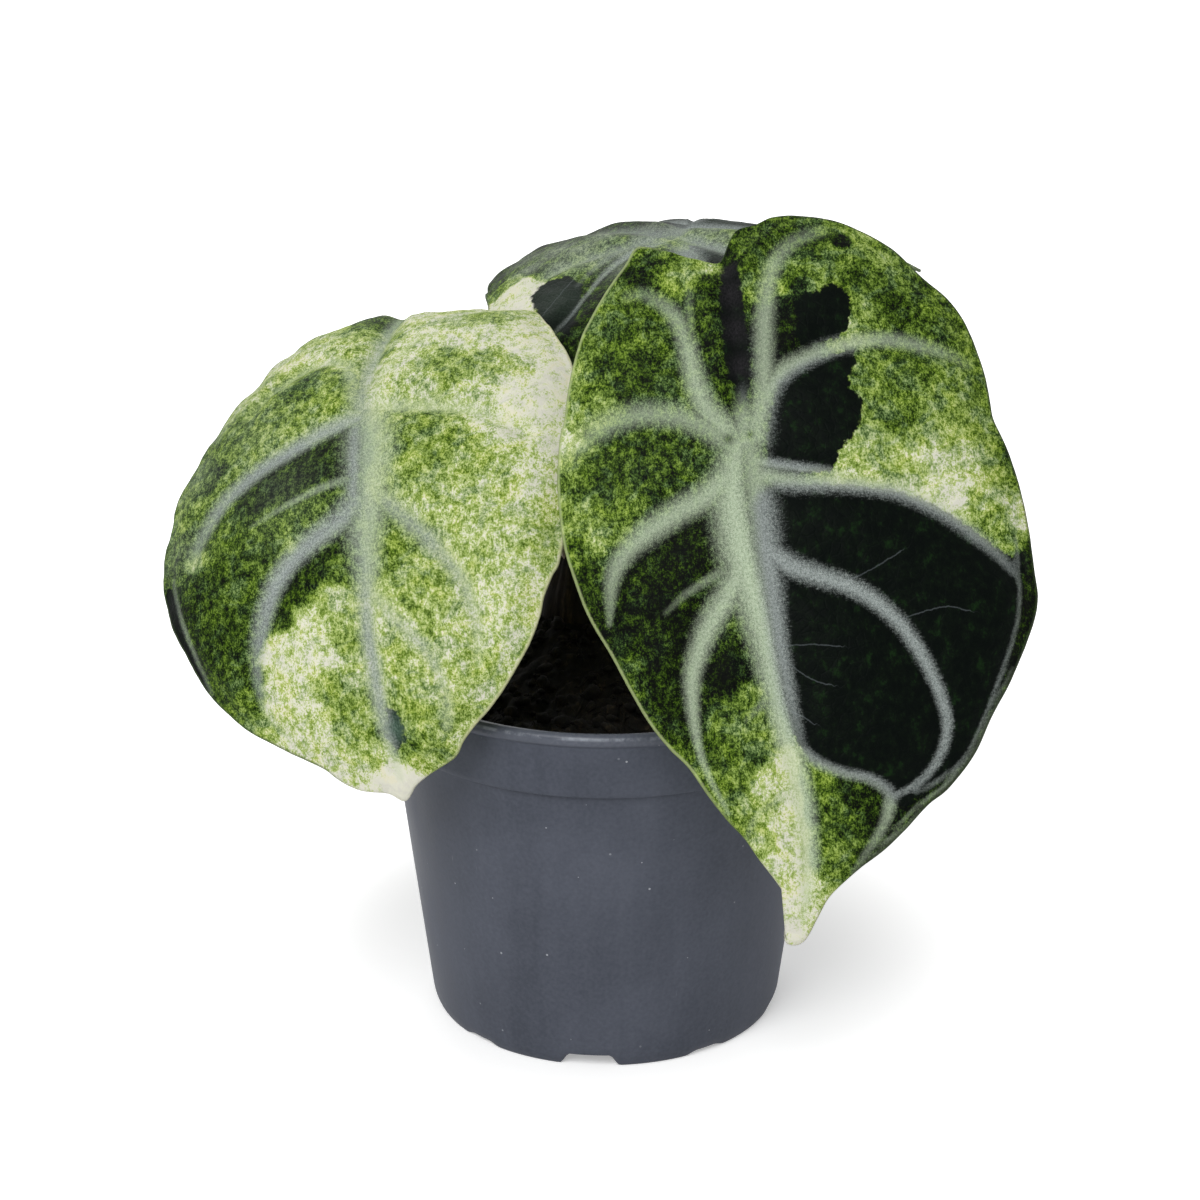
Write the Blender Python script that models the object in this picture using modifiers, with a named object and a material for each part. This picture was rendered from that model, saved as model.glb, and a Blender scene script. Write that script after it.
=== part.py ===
"""Potted alocasia: three peltate leaves on their stalks, a short crown, peat and a 6 cm nursery pot.

Everything is laid out in millimetres from the pot's axis and its foot, then written in metres.
The part's origin is the middle of its footprint, so the pot's axis stands a little beside it.
"""
import bpy
import bmesh
import numpy as np
from math import atan2, cos, degrees, hypot, pi, radians, sin
from mathutils import Matrix, Vector

MM = 0.001
GAP = 0.3
POT_AXIS = Vector((2.5, -8.6, 0.0))

# Pot
RIM_RADIUS = 30.0
POT_HEIGHT = 49.2
LIP_WIDTH = 1.6
COLLAR_BOTTOM = 40.8
COLLAR_RADIUS = 29.3
WALL_TOP_RADIUS = 28.65
WALL_BOTTOM_RADIUS = 23.65
WALL = 0.8
FOOT_RADIUS = 23.1
FOOT_WIDTH = 1.5
FOOT_CHAMFER = 1.2
BASE_UNDERSIDE = 2.0
BASE_THICKNESS = 0.8
POT_STEPS = 72
NOTCHES = 9
NOTCH_WIDTH = 8.0
NOTCH_HEIGHT = 1.8
NOTCH_TAPER = 1.0
NOTCH_HEADING = -5.0
DRAIN_HOLES = 6
DRAIN_RADIUS = 1.8
DRAIN_CIRCLE = 14.0

# Peat
SOIL_LEVEL = 43.0
SOIL_STEPS = 48
HEAP_CENTRE = (-1.0, 11.0)
HEAP_HEIGHT = 10.0
HEAP_SPREAD = 10.0

# Crown: radius at each height
CROWN_CENTRE = (-2.0, 12.0)
CROWN_PROFILE = ((4.0, 60.2), (5.3, 58.6), (6.3, 55.0), (7.0, 50.0), (6.8, 45.0), (4.6, 40.5))
CROWN_STEPS = 32

# Stalks
STALK_ROOT = 56.0
STALK_SPACING = 2.9
STALK_BASE_RADIUS = 1.6
STALK_TOP_RADIUS = 1.2
STALK_TOP_GAP = 0.5
STALK_POINTS = 14

# Leaves
LEAF_THICKNESS = 0.75
BEARINGS = (0, 8, 20, 40, 65, 90, 115, 140, 160, 172, 180)
BEARING_STEPS = 72
RINGS = 6

# Each blade is drawn flat, as its reach in each bearing from the leaf tip about the stalk's joint,
# then bent: "bend" is the curvature, per mm, towards the tip, the base, the left and the right.
# Angles in degrees: heading turns from -Y towards +X, slope is the midrib's fall, roll lifts the right.
LEAVES = {
    "front": {
        "joint": (16.2, -24.8, 85.2),
        "heading": 10.7,
        "slope": 54.4,
        "roll": 12.1,
        "bend": (0.0073, 0.0085, 0.0101, 0.0126),
        "right": (61, 54, 49.5, 44.5, 38.5, 32.5, 33, 33.5, 32.5, 29.5, 25),
        "left": (61, 46, 38, 30, 25, 22.5, 22.5, 25.5, 29.5, 26, 25),
        "stalk_rise": 26.0,
        "stalk_reach": 20.0,
    },
    "left": {
        "joint": (-30.8, -5.0, 83.9),
        "heading": -2.3,
        "slope": 29.7,
        "roll": 15.6,
        "bend": (0.0204, 0.0214, 0.0158, 0.0129),
        "right": (52.5, 49, 44, 36.5, 30, 27.5, 27, 28.5, 25, 25.5, 26.5),
        "left": (52.5, 49.5, 46.5, 41.5, 34, 26.5, 23, 25, 28, 27, 26.5),
        "stalk_rise": 22.0,
        "stalk_reach": 16.0,
    },
    "back": {
        "joint": (8.9, 26.3, 98.6),
        "heading": 162.5,
        "slope": -8.0,
        "roll": -1.8,
        "bend": (0.0270, 0.0190, 0.0110, 0.0205),
        "right": (52, 47.5, 43.5, 38.5, 34, 28, 27, 30.5, 31, 27.5, 24),
        "left": (52, 47, 43, 38, 35, 29, 29, 30, 29, 26.5, 24),
        "stalk_rise": 20.0,
        "stalk_reach": 20.0,
    },
}


def clear_scene():
    for item in list(bpy.data.objects):
        bpy.data.objects.remove(item, do_unlink=True)


def new_collection(name):
    collection = bpy.data.collections.new(name)
    bpy.context.scene.collection.children.link(collection)
    return collection


def new_material(name, colour, roughness):
    material = bpy.data.materials.new(name)
    material.use_nodes = True
    shader = material.node_tree.nodes["Principled BSDF"]
    shader.inputs["Base Color"].default_value = (*colour, 1.0)
    shader.inputs["Roughness"].default_value = roughness
    shader.inputs["Metallic"].default_value = 0.0
    return material


def place(point):
    """A point in mm from the pot's axis, as a point of the part in metres."""
    return (Vector(point) + POT_AXIS) * MM


def new_object(name, data, collection, material=None):
    item = bpy.data.objects.new(name, data)
    collection.objects.link(item)
    if material:
        data.materials.append(material)
    return item


def object_from_bmesh(name, bm, collection, material=None):
    mesh = bpy.data.meshes.new(name)
    bm.to_mesh(mesh)
    bm.free()
    return new_object(name, mesh, collection, material)


def hide_cutter(item):
    item.hide_render = True
    item.display_type = "WIRE"


def evaluated_mesh(item):
    """The object's mesh with its modifiers, or its curve's tube, as a new welded mesh."""
    depsgraph = bpy.context.evaluated_depsgraph_get()
    mesh = bpy.data.meshes.new_from_object(item.evaluated_get(depsgraph))
    bm = bmesh.new()
    bm.from_mesh(mesh)
    bmesh.ops.remove_doubles(bm, verts=bm.verts, dist=0.000001)
    bm.to_mesh(mesh)
    bm.free()
    return mesh


def turned(name, profile, steps, centre, collection, material=None):
    """A solid of revolution from (radius, height) points, outer side first and top to bottom."""
    bm = bmesh.new()
    points = [bm.verts.new((radius * MM, 0.0, height * MM)) for radius, height in profile]
    for first, second in zip(points, points[1:]):
        bm.edges.new((first, second))
    item = object_from_bmesh(name, bm, collection, material)
    item.location = place((*centre, 0.0))
    screw = item.modifiers.new("Turn", "SCREW")
    screw.steps = steps
    screw.render_steps = steps
    screw.use_merge_vertices = True
    screw.merge_threshold = 0.00001
    return item


def cut(item, cutter):
    boolean = item.modifiers.new("Cut " + cutter.name, "BOOLEAN")
    boolean.operation = "DIFFERENCE"
    boolean.object = cutter
    boolean.solver = "EXACT"


# Pot ---------------------------------------------------------------------------------------------

def wall_radius(height):
    """The outer wall below the collar."""
    rise = (height - FOOT_CHAMFER) / (COLLAR_BOTTOM - FOOT_CHAMFER)
    return WALL_BOTTOM_RADIUS + rise * (WALL_TOP_RADIUS - WALL_BOTTOM_RADIUS)


def inner_radius(height):
    """The inner wall: the outer wall less its thickness, opening to the lip above the collar's edge."""
    if height <= COLLAR_BOTTOM:
        return wall_radius(height) - WALL
    rise = (height - COLLAR_BOTTOM) / (POT_HEIGHT - COLLAR_BOTTOM)
    foot = wall_radius(COLLAR_BOTTOM) - WALL
    return foot + rise * (RIM_RADIUS - LIP_WIDTH - foot)


def pot_profile():
    floor = BASE_UNDERSIDE + BASE_THICKNESS
    edge = 0.4
    return [
        (RIM_RADIUS - edge, POT_HEIGHT),
        (RIM_RADIUS, POT_HEIGHT - edge),
        (COLLAR_RADIUS, COLLAR_BOTTOM),
        (WALL_TOP_RADIUS, COLLAR_BOTTOM - edge),
        (WALL_BOTTOM_RADIUS, FOOT_CHAMFER),
        (FOOT_RADIUS, 0.0),
        (FOOT_RADIUS - FOOT_WIDTH, 0.0),
        (FOOT_RADIUS - FOOT_WIDTH, BASE_UNDERSIDE),
        (0.0, BASE_UNDERSIDE),
        (0.0, floor),
        (inner_radius(floor), floor),
        (inner_radius(COLLAR_BOTTOM), COLLAR_BOTTOM),
        (RIM_RADIUS - LIP_WIDTH, POT_HEIGHT - edge),
        (RIM_RADIUS - LIP_WIDTH + edge, POT_HEIGHT),
        (RIM_RADIUS - edge, POT_HEIGHT),
    ]


def notch_cutters(collection):
    """Tapered blocks across the foot ring, one for each notch."""
    bm = bmesh.new()
    depth = 4.0 * FOOT_WIDTH
    for index in range(NOTCHES):
        block = bmesh.ops.create_cube(bm, size=1.0)["verts"]
        for vert in block:
            width = NOTCH_WIDTH - (2.0 * NOTCH_TAPER if vert.co.z > 0 else -2.0 * NOTCH_TAPER)
            vert.co = Vector((vert.co.x * width, vert.co.y * depth, vert.co.z * 2.0 * NOTCH_HEIGHT))
        turn = radians(NOTCH_HEADING + index * 360.0 / NOTCHES)
        move = Matrix.Rotation(turn, 4, "Z") @ Matrix.Translation((0.0, -FOOT_RADIUS, 0.0))
        bmesh.ops.transform(bm, matrix=Matrix.Scale(MM, 4) @ move, verts=block)
    cutters = object_from_bmesh("notch_cutters", bm, collection)
    cutters.location = place((0.0, 0.0, 0.0))
    hide_cutter(cutters)
    return cutters


def drain_cutters(collection):
    bm = bmesh.new()
    for index in range(DRAIN_HOLES):
        turn = 2.0 * pi * index / DRAIN_HOLES
        middle = Vector((DRAIN_CIRCLE * cos(turn), DRAIN_CIRCLE * sin(turn), BASE_UNDERSIDE)) * MM
        bmesh.ops.create_cone(
            bm,
            cap_ends=True,
            segments=16,
            radius1=DRAIN_RADIUS * MM,
            radius2=DRAIN_RADIUS * MM,
            depth=4.0 * BASE_THICKNESS * MM,
            matrix=Matrix.Translation(middle),
        )
    cutters = object_from_bmesh("drain_cutters", bm, collection)
    cutters.location = place((0.0, 0.0, 0.0))
    hide_cutter(cutters)
    return cutters


def make_pot(parts, cutters):
    plastic = new_material("pot_plastic", (0.105, 0.112, 0.130), 0.45)
    pot = turned("pot", pot_profile(), POT_STEPS, (0.0, 0.0), parts, plastic)
    cut(pot, notch_cutters(cutters))
    cut(pot, drain_cutters(cutters))
    return pot


# Peat and crown ----------------------------------------------------------------------------------

def heap(x, y):
    """How far the peat rises over its level at a point from the pot's axis."""
    away = hypot(x - HEAP_CENTRE[0], y - HEAP_CENTRE[1])
    edge = min(hypot(x, y) / (inner_radius(SOIL_LEVEL) - GAP), 1.0)
    return HEAP_HEIGHT * np.exp(-0.5 * (away / HEAP_SPREAD) ** 2) * (1.0 - edge ** 8)


def make_soil(parts, cutters):
    peat = new_material("peat", (0.012, 0.009, 0.007), 0.95)
    top = inner_radius(SOIL_LEVEL) - GAP
    bottom = BASE_UNDERSIDE + BASE_THICKNESS + GAP
    rings = [(top * share, SOIL_LEVEL) for share in (0.0, 0.15, 0.3, 0.45, 0.6, 0.75, 0.9, 1.0)]
    sides = [(inner_radius(COLLAR_BOTTOM) - GAP, COLLAR_BOTTOM), (inner_radius(bottom) - GAP, bottom)]
    plug = turned("soil", rings + sides + [(0.0, bottom)], SOIL_STEPS, (0.0, 0.0), parts, peat)
    plug.data = evaluated_mesh(plug)
    plug.modifiers.clear()
    for vert in plug.data.vertices:
        if vert.co.z > (SOIL_LEVEL - GAP) * MM:
            vert.co.z += heap(vert.co.x / MM, vert.co.y / MM) * MM
    hole = [(radius + GAP, height) for radius, height in CROWN_PROFILE]
    hole[0] = (hole[0][0], hole[0][1] + GAP)
    hole[-1] = (hole[-1][0], hole[-1][1] - GAP)
    socket = turned("crown_socket", closed_profile(hole), CROWN_STEPS, CROWN_CENTRE, cutters)
    hide_cutter(socket)
    cut(plug, socket)
    return plug


def closed_profile(profile):
    """The profile with its ends run in to the axis."""
    return [(0.0, profile[0][1]), *profile, (0.0, profile[-1][1])]


def make_crown(parts, stalk_cutters):
    sheath = new_material("crown_sheath", (0.030, 0.022, 0.014), 0.9)
    crown = turned("crown", closed_profile(CROWN_PROFILE), CROWN_STEPS, CROWN_CENTRE, parts, sheath)
    for cutter in stalk_cutters:
        cut(crown, cutter)
    return crown


# Leaves ------------------------------------------------------------------------------------------

def reach(bearing, values):
    """The blade's reach at a bearing, on a smooth curve through the values at BEARINGS."""
    knots = np.array(BEARINGS, float)
    values = np.array(values, float)
    slopes = np.gradient(values, knots)
    index = int(np.clip(np.searchsorted(knots, bearing) - 1, 0, len(knots) - 2))
    step = knots[index + 1] - knots[index]
    t = (bearing - knots[index]) / step
    start = values[index] * (1 + 2 * t) * (1 - t) ** 2 + slopes[index] * step * t * (1 - t) ** 2
    end = values[index + 1] * t * t * (3 - 2 * t) - slopes[index + 1] * step * t * t * (1 - t)
    return start + end


def leaf_axes(leaf):
    """Unit vectors along the midrib, to the blade's right and out of its upper face, at the joint."""
    heading, slope, roll = (radians(leaf[key]) for key in ("heading", "slope", "roll"))
    outward = Vector((sin(heading), -cos(heading), 0.0))
    up = Vector((0.0, 0.0, 1.0))
    along = cos(slope) * outward - sin(slope) * up
    normal = sin(slope) * outward + cos(slope) * up
    right = normal.cross(along)
    return along, cos(roll) * right + sin(roll) * normal, cos(roll) * normal - sin(roll) * right


def bent_point(leaf, across, ahead):
    """Where a point of the flat blade, in mm to its right and towards its tip, lies once it is bent."""
    along, right, normal = leaf_axes(leaf)
    to_tip, to_base, to_left, to_right = leaf["bend"]
    bend = to_tip if ahead >= 0 else to_base
    turn = bend * ahead
    spine = (sin(turn) * along - (1.0 - cos(turn)) * normal) / bend
    lifted = sin(turn) * along + cos(turn) * normal
    curl = to_right if across >= 0 else to_left
    side = (sin(curl * across) * right - (1.0 - cos(curl * across)) * lifted) / curl
    return Vector(leaf["joint"]) + spine + side


def make_leaf(name, leaf, parts, material):
    """A disc of rings, spread to the blade's outline, bent and given its thickness."""
    bm = bmesh.new()
    spoke = [bm.verts.new((0.0, ring / RINGS, 0.0)) for ring in range(RINGS + 1)]
    edges = [bm.edges.new(pair) for pair in zip(spoke, spoke[1:])]
    bmesh.ops.spin(
        bm,
        geom=spoke + edges,
        cent=(0.0, 0.0, 0.0),
        axis=(0.0, 0.0, -1.0),
        angle=2.0 * pi,
        steps=BEARING_STEPS,
        use_merge=True,
    )
    bmesh.ops.remove_doubles(bm, verts=bm.verts, dist=0.001)
    for vert in bm.verts:
        share = hypot(vert.co.x, vert.co.y)
        bearing = degrees(atan2(abs(vert.co.x), vert.co.y)) if share > 0 else 0.0
        values = leaf["right"] if vert.co.x >= 0 else leaf["left"]
        length = share * reach(bearing, values)
        across = length * sin(radians(bearing)) * (1 if vert.co.x >= 0 else -1)
        vert.co = place(bent_point(leaf, across, length * cos(radians(bearing))))
    bmesh.ops.recalc_face_normals(bm, faces=bm.faces)
    _, _, normal = leaf_axes(leaf)
    if sum((face.normal.dot(normal) for face in bm.faces), 0.0) < 0:
        bmesh.ops.reverse_faces(bm, faces=bm.faces)
    blade = object_from_bmesh(name, bm, parts, material)
    blade.data.shade_smooth()
    solidify = blade.modifiers.new("Thickness", "SOLIDIFY")
    solidify.thickness = LEAF_THICKNESS * MM
    solidify.offset = -1.0
    return blade


# Stalks ------------------------------------------------------------------------------------------

def stalk_points(leaf):
    """A curve that leaves the crown upwards and meets the underside of the blade at its joint."""
    joint = Vector(leaf["joint"])
    _, _, normal = leaf_axes(leaf)
    toward = Vector((joint.x - CROWN_CENTRE[0], joint.y - CROWN_CENTRE[1], 0.0)).normalized()
    root = Vector((*CROWN_CENTRE, STALK_ROOT)) + STALK_SPACING * toward
    top = joint - normal * (LEAF_THICKNESS + STALK_TOP_GAP)
    rise = root + Vector((0.0, 0.0, leaf["stalk_rise"])) + 0.15 * leaf["stalk_rise"] * toward
    arrive = top - leaf["stalk_reach"] * normal
    points = []
    for step in range(STALK_POINTS):
        t = step / (STALK_POINTS - 1)
        points.append(
            (1 - t) ** 3 * root + 3 * t * (1 - t) ** 2 * rise + 3 * t * t * (1 - t) * arrive + t ** 3 * top
        )
    return points


def tube(name, points, radii, collection, material=None):
    curve = bpy.data.curves.new(name, "CURVE")
    curve.dimensions = "3D"
    curve.bevel_depth = MM
    curve.bevel_resolution = 2
    curve.use_fill_caps = True
    spline = curve.splines.new("POLY")
    spline.points.add(len(points) - 1)
    for target, point, radius in zip(spline.points, points, radii):
        target.co = (*place(point), 1.0)
        target.radius = radius
    return new_object(name, curve, collection, material)


def stalk_radii(extra=0.0):
    shares = [step / (STALK_POINTS - 1) for step in range(STALK_POINTS)]
    return [STALK_BASE_RADIUS + (STALK_TOP_RADIUS - STALK_BASE_RADIUS) * share + extra for share in shares]


def make_stalk(name, leaf, parts, material):
    return tube(name, stalk_points(leaf), stalk_radii(), parts, material)


def stalk_cutter(name, leaf, collection):
    """The stalk with its clearance all round, to cut its seat in the crown."""
    points = stalk_points(leaf)
    start = (points[0] - points[1]).normalized()
    points[0] = points[0] + GAP * start
    curve = tube(name + "_curve", points, stalk_radii(GAP), collection)
    cutter = new_object(name, evaluated_mesh(curve), collection)
    cutter.matrix_world = curve.matrix_world
    bpy.data.objects.remove(curve, do_unlink=True)
    hide_cutter(cutter)
    return cutter


def main():
    clear_scene()
    parts = new_collection("potted_alocasia")
    cutters = new_collection("cutters")
    make_pot(parts, cutters)
    make_soil(parts, cutters)
    seats = [stalk_cutter("seat_" + side, leaf, cutters) for side, leaf in LEAVES.items()]
    make_crown(parts, seats)
    colours = {"front": (0.060, 0.110, 0.045), "left": (0.330, 0.400, 0.170), "back": (0.110, 0.140, 0.110)}
    for side, leaf in LEAVES.items():
        stalk_green = new_material("stalk_green_" + side, (0.300, 0.330, 0.160), 0.5)
        blade_green = new_material("blade_green_" + side, colours[side], 0.4)
        make_stalk("petiole_" + side, leaf, parts, stalk_green)
        make_leaf("leaf_" + side, leaf, parts, blade_green)


main()
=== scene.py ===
"""Looks of the potted alocasia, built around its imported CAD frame.

Lengths in the tables are millimetres. A blade's own coordinates are (across, ahead): millimetres to
the right and towards the tip from the stalk's joint, on the blade laid flat and seen from above with
its tip down. "place" puts a point given from the pot's axis into the row frame, in metres.
"""

from math import cos, hypot, pi, radians, sin

import bmesh
import bpy
import numpy as np
from mathutils import Matrix, Vector, noise


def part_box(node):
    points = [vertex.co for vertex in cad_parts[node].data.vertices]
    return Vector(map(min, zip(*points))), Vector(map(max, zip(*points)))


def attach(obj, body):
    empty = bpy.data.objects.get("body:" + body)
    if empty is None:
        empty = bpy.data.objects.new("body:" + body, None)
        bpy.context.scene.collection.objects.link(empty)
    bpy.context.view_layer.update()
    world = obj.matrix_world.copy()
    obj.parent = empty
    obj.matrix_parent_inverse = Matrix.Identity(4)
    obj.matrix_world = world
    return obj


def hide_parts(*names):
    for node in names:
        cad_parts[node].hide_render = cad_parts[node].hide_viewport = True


MM = 0.001

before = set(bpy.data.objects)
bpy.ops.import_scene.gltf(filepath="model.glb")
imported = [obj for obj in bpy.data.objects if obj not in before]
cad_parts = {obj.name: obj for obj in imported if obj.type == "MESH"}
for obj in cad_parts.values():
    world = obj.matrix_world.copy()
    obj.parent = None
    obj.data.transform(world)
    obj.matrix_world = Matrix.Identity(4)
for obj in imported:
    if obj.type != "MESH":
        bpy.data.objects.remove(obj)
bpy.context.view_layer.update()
pot_low, pot_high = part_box("pot")
POT_AXIS = np.array([(pot_low.x + pot_high.x) / 2, (pot_low.y + pot_high.y) / 2, pot_low.z]) / MM


def place(points):
    """Points in mm from the pot's axis, as points of the row frame in metres."""
    return (np.asarray(points, float) + POT_AXIS) * MM


def add(name, data):
    """A new object in the scene, made from a mesh, a lamp or a camera."""
    thing = bpy.data.objects.new(name, data)
    bpy.context.scene.collection.objects.link(thing)
    return thing


# Camera ------------------------------------------------------------------------------------------

CAMERA_DISTANCE = 371.0
CAMERA_TILT = 19.6
CAMERA_TARGET = (-0.8, 0.0, 56.3)
CAMERA_LENS = 84.63
CAMERA_SENSOR = 36.0


def make_camera():
    data = bpy.data.cameras.new("camera")
    data.lens = CAMERA_LENS
    data.sensor_width = CAMERA_SENSOR
    camera = add("camera", data)
    tilt = radians(CAMERA_TILT)
    back = np.array([0.0, -cos(tilt), sin(tilt)]) * CAMERA_DISTANCE
    camera.location = place(np.array(CAMERA_TARGET) + back)
    camera.rotation_euler = (pi / 2 - tilt, 0.0, 0.0)
    bpy.context.scene.camera = camera


# Materials ---------------------------------------------------------------------------------------

def colour_of(value):
    """The linear colour of three 8-bit sRGB levels; a socket is passed on as it is."""
    if isinstance(value, bpy.types.NodeSocket):
        return value
    shares = [level / 255.0 for level in value]
    linear = [c / 12.92 if c <= 0.04045 else ((c + 0.055) / 1.055) ** 2.4 for c in shares]
    return (*linear, 1.0)


class Nodes:
    """Short calls for building a node tree."""

    def __init__(self, tree):
        self.tree = tree

    def put(self, socket, value):
        if isinstance(value, bpy.types.NodeSocket):
            self.tree.links.new(value, socket)
        elif value is not None:
            socket.default_value = value

    def node(self, kind, values=(), **settings):
        made = self.tree.nodes.new(kind)
        for key, value in settings.items():
            setattr(made, key, value)
        for key, value in dict(values).items():
            self.put(made.inputs[key], value)
        return made

    def number(self, name):
        return self.node("ShaderNodeAttribute", attribute_name=name).outputs["Fac"]

    def vector(self, name):
        return self.node("ShaderNodeAttribute", attribute_name=name).outputs["Vector"]

    def coordinates(self):
        return self.node("ShaderNodeTexCoord").outputs["Object"]

    def axis(self, vector, index):
        return self.node("ShaderNodeSeparateXYZ", {0: vector}).outputs[index]

    def math(self, operation, a, b=None, c=None):
        return self.node("ShaderNodeMath", {0: a, 1: b, 2: c}, operation=operation).outputs[0]

    def times(self, first, *others):
        for other in others:
            first = self.math("MULTIPLY", first, other)
        return first

    def sum(self, first, *terms, middle=0.0):
        """first plus each (value, weight) as (value - middle) * weight."""
        for value, weight in terms:
            scaled = self.math("MULTIPLY_ADD", value, weight, -weight * middle)
            first = self.math("ADD", first, scaled)
        return first

    def vary(self, first, *noises):
        """first moved up and down by each (noise, weight); a noise's middle is one half."""
        return self.sum(first, *noises, middle=0.5)

    def noise(self, vector, scale, detail=2.0, roughness=0.5, distortion=0.0):
        """Noise with one scale, or one for each axis."""
        if isinstance(scale, tuple):
            vector, scale = self.stretch(vector, scale), 1.0
        values = {"Vector": vector, "Scale": scale, "Detail": detail}
        values |= {"Roughness": roughness, "Distortion": distortion}
        return self.node("ShaderNodeTexNoise", values).outputs[0]

    def stretch(self, vector, scale):
        return self.node("ShaderNodeMapping", {"Vector": vector, "Scale": scale}).outputs[0]

    def smooth(self, value, low, high, start=0.0, end=1.0):
        values = {0: value, 1: low, 2: high, 3: start, 4: end}
        return self.node("ShaderNodeMapRange", values, interpolation_type="SMOOTHSTEP").outputs[0]

    def mix(self, factor, a, b):
        """Colour a giving way to colour b, each a socket or three 8-bit levels."""
        values = {0: factor, 6: colour_of(a), 7: colour_of(b)}
        return self.node("ShaderNodeMix", values, data_type="RGBA").outputs[2]

    def ramp(self, value, stops):
        """A colour read from stops of (position, three 8-bit levels)."""
        made = self.node("ShaderNodeValToRGB", {0: value})
        elements = made.color_ramp.elements
        while len(elements) < len(stops):
            elements.new(0.5)
        for element, (position, levels) in zip(elements, stops):
            element.position = position
            element.color = colour_of(levels)
        return made.outputs[0]

    def bump(self, height, distance, strength):
        values = {"Height": height, "Distance": distance, "Strength": strength}
        return self.node("ShaderNodeBump", values).outputs[0]

    def looked_at(self):
        """1 for a ray that shows the thing, straight, in a gloss or through glass; 0 for one that lights."""
        rays = self.node("ShaderNodeLightPath").outputs
        bent_rays = self.math("MAXIMUM", rays["Is Glossy Ray"], rays["Is Transmission Ray"])
        return self.math("MAXIMUM", rays["Is Camera Ray"], bent_rays)


class Shader(Nodes):
    """The nodes of a new material."""

    def __init__(self, name, specular):
        self.material = bpy.data.materials.new(name)
        self.material.use_nodes = True
        super().__init__(self.material.node_tree)
        self.surface = self.tree.nodes["Principled BSDF"].inputs
        self.surface["Specular IOR Level"].default_value = specular

    def finish(self, colour, roughness, normal=None):
        self.put(self.surface["Base Color"], colour)
        self.put(self.surface["Roughness"], roughness)
        self.put(self.surface["Normal"], normal)
        return self.material


# Meshes ------------------------------------------------------------------------------------------

def new_piece(name, vertices, faces, material, node):
    """A smooth mesh piece from points in metres, riding on the body and standing for its CAD node."""
    mesh = bpy.data.meshes.new(name)
    mesh.from_pydata(np.asarray(vertices, float).tolist(), [], faces)
    mesh.validate()
    mesh.materials.append(material)
    mesh.shade_smooth()
    piece = add(name, mesh)
    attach(piece, "root")
    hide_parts(node)
    return piece


def skin(rings, steps, first=0):
    """Faces of a closed skin: a pole, rings that turn left as seen from beyond that pole, and a last pole."""
    pairs = [(step, (step + 1) % steps) for step in range(steps)]
    rows = [first + 1 + ring * steps for ring in range(rings)]
    last = first + 1 + rings * steps
    faces = [(first, rows[0] + a, rows[0] + b) for a, b in pairs]
    for row, following in zip(rows, rows[1:]):
        faces += [(row + a, following + a, following + b, row + b) for a, b in pairs]
    return faces + [(last, rows[-1] + b, rows[-1] + a) for a, b in pairs]


def circle(steps):
    """Headings in radians, evenly spaced, turning left from +X."""
    return [2 * pi * step / steps for step in range(steps)]


def ring_points(radius, height, steps):
    return [(radius * cos(turn), radius * sin(turn), height) for turn in circle(steps)]


def unit(vectors):
    """The same directions at length one."""
    return vectors / np.linalg.norm(vectors, axis=-1, keepdims=True)


CURVE_DETAIL = 24


def through(points, count, closed=False):
    """A smooth line of count points, evenly spaced, through the given points."""
    points = np.asarray(points, float)
    if closed:
        knots = np.concatenate([points[-1:], points, points[:2]])
    else:
        knots = np.concatenate([2 * points[:1] - points[1:2], points, 2 * points[-1:] - points[-2:-1]])
    dense = []
    for a, b, c, d in zip(knots, knots[1:], knots[2:], knots[3:]):
        t = np.linspace(0.0, 1.0, CURVE_DETAIL, endpoint=False)[:, None]
        curve = 2 * b + (c - a) * t + (2 * a - 5 * b + 4 * c - d) * t ** 2 + (3 * b - a - 3 * c + d) * t ** 3
        dense.append(0.5 * curve)
    dense = np.concatenate(dense + [knots[-2:-1]])
    lengths = np.concatenate([[0.0], np.cumsum(np.linalg.norm(np.diff(dense, axis=0), axis=1))])
    marks = np.linspace(0.0, lengths[-1], count + 1 if closed else count)
    line = np.stack([np.interp(marks, lengths, dense[:, axis]) for axis in range(dense.shape[1])], 1)
    return line[:-1] if closed else line


def to_line(points, line):
    """For each point: its distance to the line, how far along the line that is (0 to 1), and its side."""
    starts, steps = line[:-1], np.diff(line, axis=0)
    squares = (steps ** 2).sum(1)
    lengths = np.concatenate([[0.0], np.cumsum(np.sqrt(squares))])
    best = np.full(len(points), np.inf)
    along = np.zeros(len(points))
    side = np.ones(len(points))
    for index, (start, step, square) in enumerate(zip(starts, steps, squares)):
        away = points - start
        t = np.clip(away @ step / square, 0.0, 1.0)
        gap = np.hypot(*(away - t[:, None] * step).T)
        closer = gap < best
        best[closer] = gap[closer]
        along[closer] = ((lengths[index] + t * (lengths[index + 1] - lengths[index])) / lengths[-1])[closer]
        side[closer] = np.sign(step[0] * away[:, 1] - step[1] * away[:, 0] + 1e-12)[closer]
    return best, along, side


def inside_depth(points, corners):
    """How deep each point lies inside a closed outline, negative outside it."""
    corners = np.asarray(corners, float)
    ring = np.concatenate([corners, corners[:1]])
    gap, _, _ = to_line(points, ring)
    within = np.zeros(len(points), bool)
    x, y = points.T
    for (x0, y0), (x1, y1) in zip(ring, ring[1:]):
        if y0 != y1:
            crosses = (y0 > y) != (y1 > y)
            within ^= crosses & (x < (x1 - x0) * (y - y0) / (y1 - y0) + x0)
    return np.where(within, gap, -gap)


# Blades ------------------------------------------------------------------------------------------

# How finely a blade is cut: spokes to its margin, and rings on its upper face and its underside.
SPOKES = 480
TOP_RINGS = 92
UNDER_RINGS = 36

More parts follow.
